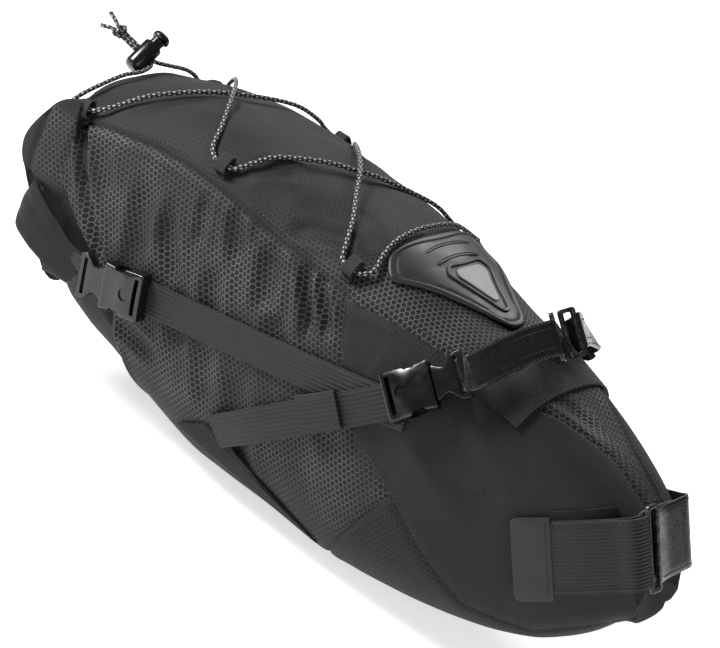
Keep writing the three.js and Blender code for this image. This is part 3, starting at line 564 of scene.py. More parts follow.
def makeShell():
    rows, uvRows, comb, toneAndShade = [], [], [], []
    total, count = shell["rows"], shell["columns"]
    for r in range(total):
        share = r / (total - 1)
        plain = [shellAt(share, 2 * math.pi * c / count - math.pi / 2) for c in range(count)]
        run = [0.0]
        for c in range(count):
            a, b = plain[c], plain[(c + 1) % count]
            run.append(run[-1] + math.dist(a[1:], b[1:]))
        row, uvRow = [], []
        quarter = count // 4
        for c in range(count):
            x, y, z = plain[c]
            angle = 2 * math.pi * c / count - math.pi / 2
            offset, printed, shade = clothAt(x, y, z, angle)
            before, after = plain[c - 1], plain[(c + 1) % count]
            flat = Vector((0, after[2] - before[2], before[1] - after[1])).normalized()
            ahead = stationAt(x + 3)[0] - stationAt(x - 3)[0]
            outward = Vector((-ahead / 6 * abs(flat.y), flat.y, flat.z)).normalized()
            row.append(spot(x + outward.x * offset, y + outward.y * offset, z + outward.z * offset))
            comb.append(printed)
            toneAndShade.append(shade)
        for c in range(count + 1):
            middle = run[quarter] if c <= count // 2 else run[count - quarter]
            along = plain[c % count][0]
            uvRow.append((along / 1000, (run[c] - middle) / 1000 * (1 if c <= count // 2 else -1)))
        rows.append(row)
        uvRows.append(uvRow)
    # the nose closes flat, and the mouth's edge turns in
    for shrink, out in ((0.985, 0.8), (0.95, 1.4), (0.88, 1.6), (0.6, 1.6), (0.25, 1.6), (0.01, 1.6)):
        last = rows[total - 1]
        middle = sum(last, Vector()) / count
        rows.append([middle + (p - middle) * shrink + Vector((0.848, 0, 0.53)) * out / 1000 for p in last])
        uvRows.append([(u + (1 - shrink) * 0.03, v * shrink) for u, v in uvRows[total - 1]])
        comb += [0.0] * count
        toneAndShade += [0.8] * count
    first = rows[0]
    middle = sum(first, Vector()) / count
    hem = []
    for shrink, inward in ((0.955, 22.0), (0.962, 8.0), (0.972, 1.2), (0.985, 0.0)):
        hem.append([middle + (p - middle) * shrink + Vector((0.933, 0, 0.359)) * inward / 1000
                for p in first])
    rows = hem + rows
    uvRows = [uvRows[0]] * 4 + uvRows
    comb = [0.0] * (4 * count) + comb
    # painted shade: the turned-in edge is darkened inside the mouth
    toneAndShade = [0.6] * (4 * count) + toneAndShade
    made = gridMesh("bagShellCloth", rows, uvRows, True, {"comb": comb, "toneAndShade": toneAndShade})
    onlySelect(made)
    bpy.ops.object.mode_set(mode="EDIT")
    bpy.ops.mesh.select_all(action="SELECT")
    bpy.ops.mesh.remove_doubles(threshold=0.00001)
    bpy.ops.object.mode_set(mode="OBJECT")
    return finishPiece(made, "shell", "bag", "honeycomb", "bag_shell")


makeShell()
print("shell made")


def smoothPath(points, steps):
    made = []
    for i in range(len(points) - 1):
        p0, p1, p2, p3 = (points[max(i - 1, 0)], points[i], points[i + 1],
                points[min(i + 2, len(points) - 1)])
        for s in range(steps):
            t = s / steps
            made.append(0.5 * ((2 * p1) + (p2 - p0) * t + (2 * p0 - 5 * p1 + 4 * p2 - p3) * t ** 2
                               + (3 * p1 - p0 - 3 * p2 + p3) * t ** 3))
    made.append(points[-1].copy())
    return made


# a woven band: centres and face normals in millimetres, with softly rounded edges
def band(name, centres, normals, width, thickness, taper=None):
    half, thin = width / 2, thickness / 2
    outline = []
    for i in range(9):
        outline.append((-half + thin + (width - thickness) * i / 8, thin))
    outline += [(half - 0.25 * thin, 0.7 * thin), (half, 0), (half - 0.25 * thin, -0.7 * thin)]
    for i in range(9):
        outline.append((half - thin - (width - thickness) * i / 8, -thin))
    outline += [(-half + 0.25 * thin, -0.7 * thin), (-half, 0), (-half + 0.25 * thin, 0.7 * thin)]
    rows, uvRows, along = [], [], 0.0
    for i, centre in enumerate(centres):
        ahead = (centres[min(i + 1, len(centres) - 1)] - centres[max(i - 1, 0)]).normalized()
        up = (normals[i] - ahead * normals[i].dot(ahead)).normalized()
        across = up.cross(ahead)
        scale = taper[i] if taper else 1.0
        if i:
            along += (centre - centres[i - 1]).length
        rows.append([spot(*(centre + across * a * scale + up * b)) for a, b in outline])
        uvRows.append([(along / 1000, a / 1000) for a, b in outline] + [(along / 1000, outline[0][0] / 1000)])
    made = gridMesh(name, rows, uvRows, True)
    closeEnds(made)
    return made


def closeEnds(piece):
    onlySelect(piece)
    bpy.ops.object.mode_set(mode="EDIT")
    bpy.ops.mesh.select_mode(type="EDGE")
    bpy.ops.mesh.select_all(action="DESELECT")
    bpy.ops.mesh.select_non_manifold()
    bpy.ops.mesh.edge_face_add()
    bpy.ops.mesh.select_mode(type="VERT")
    bpy.ops.object.mode_set(mode="OBJECT")


# short rounded stitches along a line
def stitches(name, points, normals, body, pitch=3.0, long=2.0, thick=0.32, look="thread"):
    verts, faces = [], []
    run, wanted = 0.0, 0.0
    for i in range(len(points) - 1):
        step = points[i + 1] - points[i]
        size = step.length
        while wanted <= run + size and size > 0:
            t = (wanted - run) / size
            centre = points[i] + step * t
            up = normals[i].lerp(normals[i + 1], t).normalized()
            ahead = step.normalized()
            across = up.cross(ahead).normalized()
            base = len(verts)
            for s, r, h in ((-0.5, 0.25, -0.3), (-0.3, 0.9, 0.1), (0.0, 1.0, 0.3), (0.3, 0.9, 0.1),
                    (0.5, 0.25, -0.3)):
                for k in range(5):
                    a = 2 * math.pi * k / 5
                    verts.append(spot(*(centre + ahead * s * long + across * thick * r * math.cos(a)
                                        + up * thick * (r * math.sin(a) + h))))
            for ring in range(4):
                for k in range(5):
                    a, b = base + ring * 5 + k, base + ring * 5 + (k + 1) % 5
                    faces.append((a, b, b + 5, a + 5))
            faces.append(tuple(base + k for k in reversed(range(5))))
            faces.append(tuple(base + 20 + k for k in range(5)))
            wanted += pitch
        run += size
    mesh = bpy.data.meshes.new(name)
    mesh.from_pydata(verts, [], faces)
    made = bpy.data.objects.new(name, mesh)
    bpy.context.scene.collection.objects.link(made)
    return finishPiece(made, look, body, "webbing")


def edgeStitches(name, centres, normals, offsets, lift, body, **settings):
    for number, offset in enumerate(offsets):
        line, ups = [], []
        for i, centre in enumerate(centres):
            ahead = (centres[min(i + 1, len(centres) - 1)] - centres[max(i - 1, 0)]).normalized()
            up = (normals[i] - ahead * normals[i].dot(ahead)).normalized()
            line.append(centre + up.cross(ahead) * offset + up * lift)
            ups.append(up)
        stitches(f"{name}_{number + 1}", line, ups, body, **settings)


# side webbings
webbing = {"width": 25.0, "thickness": 1.6, "gap": 0.4}
tailSpot = (-112.76, 105.1)
frontSpot = (84.28, 150.1)
wingSpot = (-26.79, 49.88)


def sideBand(start, end, side, lift, steps=44):
    places = [(start[0] + (end[0] - start[0]) * i / steps, start[1] + (end[1] - start[1]) * i / steps)
              for i in range(steps + 1)]
    return ([onSide(x, z, side, lift) for x, z in places], [sideNormal(x, z, side) for x, z in places])


def makeSideWebbings(name, side):
    lift = webbing["thickness"] / 2 + webbing["gap"] + 0.5
    rise = (frontSpot[1] - 4.64 - tailSpot[1]) / (frontSpot[0] - tailSpot[0] - 2.5)
    start = (tailSpot[0] - 1, tailSpot[1])
    end = (frontSpot[0] + 14, tailSpot[1] + rise * (frontSpot[0] + 11.5 - tailSpot[0]))
    centres, normals = sideBand(start, end, side, lift)
    upper = band(f"sideWebbingUpper_{name}", centres, normals, webbing["width"], webbing["thickness"])
    finishPiece(upper, "webbing", "bag", "webbing", f"side_webbing_upper_{name}", angle=50)
    high = 3 * webbing["gap"] + 1.5 * webbing["thickness"] + 0.4
    head = (frontSpot[0] + 2, frontSpot[1] + 1.5)
    centres, normals = sideBand(wingSpot, head, side, high)
    for i in range(12):
        centres[i] -= normals[i] * (high - 1.6) * (1 - fade(i / 12))
    lower = band(f"sideWebbingLower_{name}", centres, normals, webbing["width"], webbing["thickness"])
    finishPiece(lower, "webbing", "bag", "webbing", f"side_webbing_lower_{name}", angle=50)
    # the pull tab is the lower webbing's end, folded twice
    centres, normals = sideBand((frontSpot[0] - 52, frontSpot[1] - 44),
            (frontSpot[0] - 28, frontSpot[1] - 23.7),
                                side, high + webbing["thickness"] + 1.1, 16)
    tab = band(f"pullTab_{name}", centres, normals, webbing["width"] + 1.4, 3.6)
    finishPiece(tab, "webbing", "bag", "webbing", f"pull_tab_{name}", angle=50)
    edgeStitches(f"pullTabStitch_{name}", centres[2:-2], normals[2:-2], (-9, 9), 1.9, "bag", pitch=2.6)
    # one line of stitching across the upper webbing, behind the tail buckle
    spots = sideBand((tailSpot[0] + 21, tailSpot[1] + 4.7), (tailSpot[0] + 22, tailSpot[1] + 5), side,
            lift + 0.9, 1)
    ahead = (spots[0][1] - spots[0][0]).normalized()
    over = spots[1][0].cross(ahead)
    line = [spots[0][0] + over * (-11 + 2.2 * i) for i in range(11)]
    stitches(f"upperStitch_{name}", line, [spots[1][0]] * 11, "bag", pitch=2.4, long=1.7)


# twin rows of stitches beside the top seam and the front panel's seam
def makeSeamStitches(name, side):
    for number, away in ((1, 3.4), (2, -3.4)):
        line, ups = [], []
        for i in range(150):
            x = -236 + 486 * i / 149
            y = side * (between(topSeamY, x) - away)
            if abs(y) < 0.965 * stationAt(x)[0]:
                line.append(onTop(x, y, 0.5))
                ups.append(topNormal(x, y))
        stitches(f"topSeamStitch_{name}_{number}", line, ups, "bag", pitch=3.4, long=2.3, thick=0.28)
    line, ups = [], []
    for i in range(90):
        x = 20 + 240 * i / 89
        z = between(frontSeamZ, x) + 3.2
        line.append(onSide(x, z, side, 0.5))
        ups.append(sideNormal(x, z, side))
    stitches(f"frontSeamStitch_{name}", line, ups, "bag", pitch=3.2, long=2.1, thick=0.28)


for sideName, sideSign in (("right", -1), ("left", 1)):
    makeSideWebbings(sideName, sideSign)
    makeSeamStitches(sideName, sideSign)
print("side webbings made")


# belly wings: dark flaps that carry the lower webbings
wingRows = [(-62.0, 70.4, 31.3), (-58.0, 62, 33.5), (-54.6, 38.4, 37.1), (-50, 20, 40), (-44.9, 9.0, 43.6),
            (-40, -6, 46.5), (-37.5, -15.0, 49.2)]


def makeWing(name, side):
    steps = 44
    rows, uvRows = [], []
    for height in (1.5, 0.2):
        for start, end, z in (wingRows if height > 1 else reversed(wingRows)):
            row, uvRow = [], []
            for i in range(steps + 1):
                x = start + (end - start) * i / steps
                fall = 12.8 * (i / steps) * (1 - (z - 31.3) / 17.9)
                p = onSide(x, z - fall, side, height)
                row.append(spot(*p))
                uvRow.append((x / 1000, z / 1000))
            rows.append(row)
            uvRows.append(uvRow)
    made = gridMesh(f"bellyWing_{name}", rows + [rows[0]], uvRows + [uvRows[0]], False)
    onlySelect(made)
    bpy.ops.object.mode_set(mode="EDIT")
    bpy.ops.mesh.select_all(action="SELECT")
    bpy.ops.mesh.remove_doubles(threshold=0.00001)
    bpy.ops.object.mode_set(mode="OBJECT")
    closeEnds(made)
    finishPiece(made, "plain", "bag", "canvas", f"belly_wing_{name}", angle=40)
    line, ups = [], []
    for i in range(60):
        t = i / 59
        x = -37 + (66 + 37) * t
        z = 47.5 - 27 * t
        line.append(onSide(x, z, side, 2.0))
        ups.append(sideNormal(x, z, side))
    stitches(f"wingStitch_{name}", line, ups, "bag", pitch=3.0)


for sideName, sideSign in (("right", -1), ("left", 1)):
    makeWing(sideName, sideSign)
print("belly wings made")


# top: patch with its rim, slits and inlay, and the band under the rail straps
patch = {"rear": 20.0, "front": 106.0, "halfWidth": 64.0, "thickness": 2.4, "rim": 5.0}
inlay = {"rear": 50.0, "front": 88.0, "halfWidth": 22.0, "thickness": 1.2}


def triangleShare(t):
    return 0.82 + 1.1 * t if t < 0.16 else max(0.12, 0.996 - 1.02 * (t - 0.16))


def topOutline(size, steps):
    outline = []
    for i in range(steps + 1):
        t = i / steps
        outline.append((size["rear"] + (size["front"] - size["rear"]) * t,
                size["halfWidth"] * triangleShare(t)))
    loop = [(x, -y) for x, y in outline] + [(x, y) for x, y in reversed(outline)]
    # even spacing, then round the corners by averaging
    loop = [Vector((x, y)) for x, y in loop]
    lengths = [0.0]
    for a, b in zip(loop, loop[1:] + loop[:1]):
        lengths.append(lengths[-1] + (b - a).length)
    even = []
    number = 150
    for k in range(number):
        wanted = lengths[-1] * k / number
        i = max(j for j in range(len(loop)) if lengths[j] <= wanted)
        t = (wanted - lengths[i]) / max(1e-6, lengths[i + 1] - lengths[i])
        even.append(loop[i].lerp(loop[(i + 1) % len(loop)], t))
    for _ in range(9):
        even = [(even[i - 1] + even[i] * 2 + even[(i + 1) % number]) / 4 for i in range(number)]
    return even


def topPiece(name, size, lift, profile, look, slot, replaced):
    outline = topOutline(size, 60)
    middle = sum(outline, Vector((0, 0))) / len(outline)
    rows, uvRows = [], []
    for inset, height in profile:
        row = []
        for p in outline:
            reach = (p - middle).length
            q = middle + (p - middle) * max(0.02, (reach - inset) / reach)
            row.append(q)
        uvRows.append([(q.x / 1000, q.y / 1000) for q in row] + [(row[0].x / 1000, row[0].y / 1000)])
        rows.append([spot(*onTop(q.x, q.y, lift + height)) for q in row])
    made = gridMesh(name, rows, uvRows, True)
    closeEnds(made)
    return finishPiece(made, look, "bag", slot, replaced, angle=35)


rimProfile = [(60, 0.2), (40, 0.2), (20, 0.2), (1.5, 0.2), (0.2, 0.3), (0, 0.9), (0.2, 1.6), (0.8, 2.2),
        (2.0, 2.5),
              (3.6, 2.5), (4.4, 2.2), (4.8, 1.5), (5.4, 1.5), (6.0, 1.9), (9, 2.0), (16, 2.1), (30, 2.1),
              (60, 2.1)]
topPiece("topPatchRubber", patch, 0.3, rimProfile, "rubber", "rubber_patch", "top_patch")
# the inlay stands in a dark raised frame
frameProfile = [(20, 0), (1, 0), (0, 0.3), (0, 1.0), (0.6, 1.5), (2.0, 1.5), (2.6, 1.2), (2.6, 0.2),
        (20, 0.2)]
paleProfile = [(20, 0), (0.8, 0), (0, 0.2), (0, 0.7), (0.5, 1.0), (1.2, 1.0), (20, 1.0)]
topPiece("inlayFrame", dict(inlay, rear=47.0, front=93.0, halfWidth=26.0), 2.2, frameProfile, "rubber",
        "rubber_patch",
         "patch_emblem")
paleShape = dict(inlay, rear=52.0, front=83.0, halfWidth=17.5)
topPiece("paleInlay", paleShape, 2.5, paleProfile, "pale", "emblem", "patch_emblem")


outline = topOutline(patch, 60)
middle = sum(outline, Vector((0, 0))) / len(outline)
stitchLoop = []
for p in outline + outline[:1]:
    reach = (p - middle).length
    q = middle + (p - middle) * (reach - 5.1) / reach
    stitchLoop.append((q.x, q.y))
line = [onTop(x, y, 2.15) for x, y in stitchLoop]
stitches("patchStitch", line, [topNormal(x, y) for x, y in stitchLoop], "bag", pitch=2.6, long=1.8, thick=0.3)


# two long slots across the patch
def makeSlot(name, x, half):
    profile = [(-1.5, -0.2), (-1.3, 0.5), (-0.8, 0.75), (-0.4, 0.3), (0.4, 0.3), (0.8, 0.75), (1.3, 0.5),
            (1.5, -0.2)]
    rows, uvRows = [], []
    for i in range(41):
        y = -half + 2 * half * i / 40
        ends = math.sqrt(max(0.02, 1 - (abs(y) / half) ** 8))
        rows.append([spot(*onTop(x + 2.5 * (abs(y) / half) ** 2 + a * ends, y, 2.2 + b * ends))
                for a, b in profile])
        uvRows.append([(y / 1000, a / 1000) for a, b in profile])
    made = gridMesh(name, rows, [row + [row[0]] for row in uvRows], True)
    closeEnds(made)
    finishPiece(made, "rubber", "bag", "rubber_patch", angle=40)


makeSlot("patchSlotRear", 30, 28)
makeSlot("patchSlotFront", 41, 26)

bandX = 138.2
centres = [onTop(bandX, -64 + 128 * i / 60, 1.9) for i in range(61)]
normals = [topNormal(bandX, -64 + 128 * i / 60) for i in range(61)]
saddleBand = band("saddleBandWebbing", centres, normals, 49.5, 1.8)
finishPiece(saddleBand, "ribs", "bag", "webbing", "saddle_band", angle=50)
print("top made")


# tail: cover, rolled end, ears and sleeve, which pull out together
tailProfile = [
    (-229, 189), (-236, 190), (-243, 186), (-250, 178), (-256, 166), (-261, 154), (-263, 143), (-260, 132),
    (-252, 122), (-244, 113), (-236, 102), (-226, 88), (-216, 75), (-206, 66), (-198, 64), (-192, 70),
    (-196, 90), (-205, 115), (-214, 140), (-224, 170)]


def makeTailCover():
    closed = [Vector((x, 0, z)) for x, z in tailProfile]
    loop = smoothPath(closed[-1:] + closed + closed[:2], 5)[5:-5]
    middle = Vector((-230, 0, 130))
    rows, uvRows = [], []
    ys = [-84.5 + 169 * i / 84 for i in range(85)]
    ends = [(-64, 0.86), (-70, 0.88), (-78, 0.9), (-82.5, 0.94), (-84.6, 0.975)]
    plan = [(y, s) for y, s in ends] + [(y, 1.0) for y in ys[1:-1]] + [(-y, s) for y, s in reversed(ends)]
    for y, shrink in plan:
        row, uvRow, run = [], [], 0.0
        for k, p in enumerate(loop):
            q = middle + (p - middle) * shrink
            outer = fade((-222 - q.x) / 12)
            wave = noise.noise(Vector((y / 22, q.z / 34, 5.0))) * 2.2 + noise.noise(Vector((y / 60,
                    q.z / 50, 9.0))) * 2.0
            pleat = -1.6 * math.exp(-(((y + 52 + (q.z - 130) * 0.2) / 5) ** 2)) - 1.2 * math.exp(-(((y
                    - 40) / 6) ** 2))
            crease = -2.2 * math.exp(-((q.z - 124) / 4) ** 2)
            push = outer * (wave * 0.6 + pleat + crease - 1.0) * (1 if shrink == 1.0 else 0.2)
            direction = (q - middle).normalized()
            q = q + direction * push
            row.append(spot(q.x, y, q.z))
            if k:
                run += (loop[k] - loop[k - 1]).length
            uvRow.append((run / 1000, y / 1000))
        uvRow.append(((run + 5) / 1000, y / 1000))
        rows.append(row)
        uvRows.append(uvRow)
    made = gridMesh("tailCover", rows, uvRows, True)
    closeEnds(made)
    return finishPiece(made, "plain", "roll_top_end", "canvas", "roll_top", "roll_stiffener")


makeTailCover()


# the printed cloth that closes each end of the cover, down to the folded ear
def makeCheek(name, side):
    closed = [Vector((x, 0, z)) for x, z in tailProfile]
    loop = smoothPath(closed[-1:] + closed + closed[:2], 6)[6:-6]
    middle = Vector((-228, 0, 135))
    rows, uvRows, comb, toneAndShade = [], [], [], []
    for i in range(26):
        shrink = math.cos(math.pi / 2 * i / 26)
        row, uvRow = [], []
        for p in loop:
            q = middle + (p - middle) * (shrink * 1.004)
            bulge = 84.2 + 2.6 * math.sqrt(1 - shrink ** 2)
            bulge += 0.7 * noise.noise(Vector((q.x / 18, q.z / 22,
                    4 * side))) - 1.4 * math.exp(-((q.x + 250 + (q.z - 150) * 0.1) / 3) ** 2)
            bulge -= 3.5 * fade((128 - q.z) / 10)
            row.append(spot(q.x, side * bulge, q.z))
            uvRow.append((q.x / 1000, q.z / 1000))
            comb.append(0.9 * fade((q.x + 251) / 4) * fade((q.z - 122) / 16) * fade((184 - q.z) / 9))
            toneAndShade.append(0.9)
        rows.append(row)
        uvRows.append(uvRow + uvRow[:1])
    made = gridMesh(f"coverCheek_{name}", rows, uvRows, True, {"comb": comb, "toneAndShade": toneAndShade})
    closeEnds(made)
    finishPiece(made, "shell", "roll_top_end", "honeycomb")


# the rolled cloth's end, folded forward on each side towards its buckle
def makeEar(name, side):
    spine = [(-246, 60, 106, 15, 9), (-244, 77, 105, 16, 9), (-235, 88, 102, 17, 8), (-221, 92.2, 98, 17, 7),
             (-206, 94, 94, 16, 6), (-192, 95.2, 91, 14.4, 4.5), (-180, 96.5, 90.5, 13.2, 3),
             (-170, 97.5, 91.5, 12.6, 2.2)]
    points = smoothPath([Vector((x, side * y, z)) for x, y, z, h, t in spine], 8)
    sizes = smoothPath([Vector((h, t, 0)) for x, y, z, h, t in spine], 8)
    rows, uvRows, run = [], [], 0.0
    for i, p in enumerate(points):
        ahead = (points[min(i + 1, len(points) - 1)] - points[max(i - 1, 0)]).normalized()
        out = Vector((0, side, 0)).lerp(Vector((-1, side * 0.4, 0)), fade(1 - i / 22))
        out = (out - ahead * out.dot(ahead)).normalized()
        over = out.cross(ahead).normalized() * (1 if side > 0 else -1)
        if i:
            run += (p - points[i - 1]).length
        row, uvRow = [], []
        for k in range(36):
            a = 2 * math.pi * k / 36
            c, s = math.cos(a), math.sin(a)
            layer = 0.55 * max(0.0, c) * (math.exp(-((s - 0.45) / 0.1) ** 2)
                    + math.exp(-((s + 0.35) / 0.1) ** 2))
            ripple = 0.6 * noise.noise(Vector((run / 14, s * 2.2, 3 * side)))
            depth = sizes[i].y / 2 * (math.copysign(abs(c) ** 0.8, c)) - layer * sizes[i].y * 0.22 + ripple
            q = p + out * depth + over * sizes[i].x * math.copysign(abs(s) ** 0.9, s)
            row.append(spot(*q))
            uvRow.append((run / 1000, s * sizes[i].x / 1000))
        rows.append(row)
        uvRows.append(uvRow + uvRow[:1])
    made = gridMesh(f"rollEar_{name}", rows, uvRows, True)
    closeEnds(made)
    finishPiece(made, "plain", "roll_top_end", "canvas")


def makeSleeve():
    rows, uvRows = [], []
    for distance in [46 - i * 1.25 for i in range(41)] + [-3]:
        row, uvRow = [], []
        for c in range(140):
            angle = 2 * math.pi * c / 140 - math.pi / 2
            x, y, z = shellAt(0.0, angle, 5.6)
            wave = 1.1 * noise.noise(Vector((distance / 30, 3 * math.cos(angle), 3 * math.sin(angle)))) - 0.5
            reach = Vector((0, y, z - 130)).normalized() * wave
            row.append(spot(x + 0.9703 * distance, y + reach.y, z + 0.2419 * distance + reach.z))
            uvRow.append((distance / 1000, c * 0.0036))
        rows.append(row)
        uvRows.append(uvRow + [(distance / 1000, 140 * 0.0036)])
    made = gridMesh("throatSleeveCloth", rows, uvRows, True)
    onlySelect(made)
    thick = made.modifiers.new("wall", "SOLIDIFY")
    thick.thickness = 0.0012
    thick.offset = -1
    bpy.ops.object.modifier_apply(modifier="wall")
    return finishPiece(made, "lining", "roll_top_end", "lining", "throat_sleeve")


makeSleeve()

pullWay = Vector((-0.9703, 0, -0.2419))
buckle = {"length": 34.0, "width": 34.0, "thickness": 11.0, "maleLength": 57.0}


def frameOf(origin, along, outward):
    x = Vector(along).normalized()
    z = (Vector(outward) - x * Vector(outward).dot(x)).normalized()
    y = z.cross(x)
    turn = Matrix((x, y, z)).transposed().to_4x4()
    return Matrix.Translation(Vector(origin)) @ turn


def tailFrame(side):
    return frameOf((tailSpot[0], side * 92.4, tailSpot[1]), pullWay, (0, side, 0))


def frontFrame(side):
    origin = onSide(frontSpot[0], frontSpot[1], side, 4.86)
    return frameOf(origin, (0.61, -side * 0.33, 0.71), (0, side, 0.42))


def makeRollEnd(name, side):
    place = tailFrame(side)
    start = place @ Vector((54.0, 0, 5.5))
    out = Vector((0, side, 0))
    centres = [start + pullWay * d - out * drop
            for d, drop in ((-1, 0), (6, 0.2), (14, 1.4), (22, 3.6), (30, 5.4), (42, 7))]
    centres = smoothPath(centres, 6)
    made = band(f"rollEndWebbing_{name}", centres, [out] * len(centres), 24, 1.6)
    finishPiece(made, "webbing", "roll_top_end", "webbing", f"roll_end_webbing_{name}", angle=50)
    edgeStitches(f"rollEndStitch_{name}", centres[12:20], [out] * 8, (-8, 0, 8), 1.0, "roll_top_end",
            pitch=2.4)


for sideName, sideSign in (("right", -1), ("left", 1)):
    makeCheek(sideName, sideSign)
    makeEar(sideName, sideSign)
    makeRollEnd(sideName, sideSign)
print("tail made")


# side-release buckles are cut from plain blocks and then shaped;
# rings, tabs and the nose pad are softened copies of the frame's own shapes
def softened(source, name, width, segments, look, body, slot, fine=30):
    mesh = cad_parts[source].data.copy()
    made = bpy.data.objects.new(name, mesh)
    bpy.context.scene.collection.objects.link(made)
    onlySelect(made)
    bpy.ops.object.mode_set(mode="EDIT")
    bpy.ops.mesh.select_all(action="SELECT")
    bpy.ops.mesh.remove_doubles(threshold=0.00003)
    bpy.ops.mesh.dissolve_limited(angle_limit=math.radians(2))
    bpy.ops.object.mode_set(mode="OBJECT")
    bevel = made.modifiers.new("edges", "BEVEL")
    bevel.width = width / 1000
    bevel.segments = segments
    bevel.limit_method = "ANGLE"
    bevel.angle_limit = math.radians(30)
    bpy.ops.object.modifier_apply(modifier="edges")
    return finishPiece(made, look, body, slot, source, angle=fine)


# a piece drawn by hand in a buckle's own frame
def cubeAt(name, low, high):
    bpy.ops.object.select_all(action="DESELECT")
    size = [b - a for a, b in zip(low, high)]
    middle = [(a + b) / 2 for a, b in zip(low, high)]
    bpy.ops.mesh.primitive_cube_add(size=1, location=(0, 0, 0))
    made = bpy.context.object
    made.name = name
    bpy.ops.object.mode_set(mode="EDIT")
    bpy.ops.mesh.select_all(action="SELECT")
    bpy.ops.transform.resize(value=size)
    bpy.ops.transform.translate(value=middle)
    bpy.ops.object.mode_set(mode="OBJECT")
    return made


def settle(made, place):
    made.data.transform(Matrix.Scale(0.001, 4) @ Matrix.Translation((shell["shift"], 0, 0)) @ place)


def roundEdges(made, width):
    edge = made.modifiers.new("edge", "BEVEL")
    edge.width = width
    edge.segments = 3
    edge.limit_method = "ANGLE"
    edge.angle_limit = math.radians(50)
    bpy.ops.object.modifier_apply(modifier="edge")


def carve(made, tool):
    onlySelect(made)
    cutting = made.modifiers.new("cut", "BOOLEAN")
    cutting.object = tool
    cutting.solver = "EXACT"
    before = len(made.data.polygons)
    bpy.ops.object.modifier_apply(modifier="cut")
    if len(made.data.polygons) < 0.6 * before:
        raise RuntimeError("a cut emptied " + made.name)
    bpy.data.objects.remove(tool)


def cylinderAt(radius, depth, middle, sides=40):
    bpy.ops.object.select_all(action="DESELECT")
    bpy.ops.mesh.primitive_cylinder_add(vertices=sides, radius=radius, depth=depth, location=(0, 0, 0))
    made = bpy.context.object
    bpy.ops.object.mode_set(mode="EDIT")
    bpy.ops.mesh.select_all(action="SELECT")
    bpy.ops.transform.translate(value=middle)
    bpy.ops.object.mode_set(mode="OBJECT")
    return made


femaleForm = {"waist": 2.2, "edge": 1.6, "crown": 2.4}
maleForm = {"root": 34.6, "end": 57.0, "low": 2.4, "high": 8.6, "half": 16.0, "neck": 12.2, "draw": 3.4,
            "flare": 4.2, "edge": 1.2}


# the cap end is full and the middle is drawn in; arcs at the sides show the prongs
def makeFemale(name, replaced, place, slot="buckle_plastic"):
    made = cubeAt(name, (0, -17, 0), (34, 17, 11))
    onlySelect(made)
    bpy.ops.object.mode_set(mode="EDIT")
    bpy.ops.mesh.select_all(action="SELECT")
    bpy.ops.mesh.subdivide(number_cuts=9)
    bpy.ops.object.mode_set(mode="OBJECT")
    roundEdges(made, femaleForm["edge"])
    carve(made, cubeAt("hollow", (9.5, -13.7, 2.2), (36, 13.7, 8.8)))
    carve(made, cubeAt("slot", (3, -13.1, -3), (6.2, 13.1, 15)))
    for side in (-1, 1):
        carve(made, cubeAt("window", (13.5, 13.0 if side > 0 else -20, 2.2),
                (25, 20 if side > 0 else -13.0, 8.8)))
        carve(made, cylinderAt(6.4, 8, (20.5, side * 20.6, 10.8)))
    carve(made, cylinderAt(4.6, 3.2, (12.6, 0, 11.7)))
    # shaped after cutting, so every cut is made in a plain block
    for v in made.data.vertices:
        t = v.co.x / 34
        wide = abs(v.co.y) / 17
        if v.co.z > 9.4:
            crown = femaleForm["crown"] * max(0.0, 1 - wide ** 2.4)
            v.co.z += crown * (0.3 + 0.8 * math.exp(-((t - 0.42) / 0.22) ** 2)) * fade((v.co.z - 9.2) / 1.2)
        if wide > 0.84:
            v.co.y *= 1 - femaleForm["waist"] * 0.6 * math.exp(-((t - 0.72) / 0.22) ** 2) / 17
    settle(made, place)
    return finishPiece(made, "plastic", "bag", slot, replaced, angle=32)


def makeMale(name, node_, place, body, slot="buckle_plastic"):
    half = maleForm["half"]
    made = cubeAt(name, (maleForm["root"], -half, maleForm["low"]), (maleForm["end"], half, maleForm["high"]))
    bpy.ops.object.mode_set(mode="EDIT")
    bpy.ops.mesh.select_all(action="SELECT")
    bpy.ops.mesh.subdivide(number_cuts=9)
    bpy.ops.object.mode_set(mode="OBJECT")
    for v in made.data.vertices:
        t = (v.co.x - maleForm["root"]) / (maleForm["end"] - maleForm["root"])
        wide = maleForm["neck"] - maleForm["draw"] * math.exp(-((t - 0.34) / 0.2) ** 2)
        wide += maleForm["flare"] * fade((t - 0.42) / 0.4)
        v.co.y *= wide / half
        v.co.z = 5.5 + (v.co.z - 5.5) * (1.05 - 0.25 * fade((t - 0.55) / 0.3))
        if v.co.z > 5.5:
            v.co.z += 0.9 * (1 - (v.co.y / wide) ** 2) * (1 - t)
    onlySelect(made)
    roundEdges(made, maleForm["edge"])
    carve(made, cubeAt("barSlot", (50.6, -13.1, -2), (53.8, 13.1, 15)))
    tongue = cubeAt("tongue", (11.5, -3, 3.4), (36, 3, 7.6))
    onlySelect(tongue)
    soft = tongue.modifiers.new("soft", "BEVEL")
    soft.width, soft.segments = 0.7, 2
    bpy.ops.object.modifier_apply(modifier="soft")
    onlySelect(made)
    joinUp = made.modifiers.new("join", "BOOLEAN")
    joinUp.operation, joinUp.object, joinUp.solver = "UNION", tongue, "EXACT"
    bpy.ops.object.modifier_apply(modifier="join")
    bpy.data.objects.remove(tongue)
    settle(made, place)
    return finishPiece(made, "plastic", body, slot, node_, angle=32)


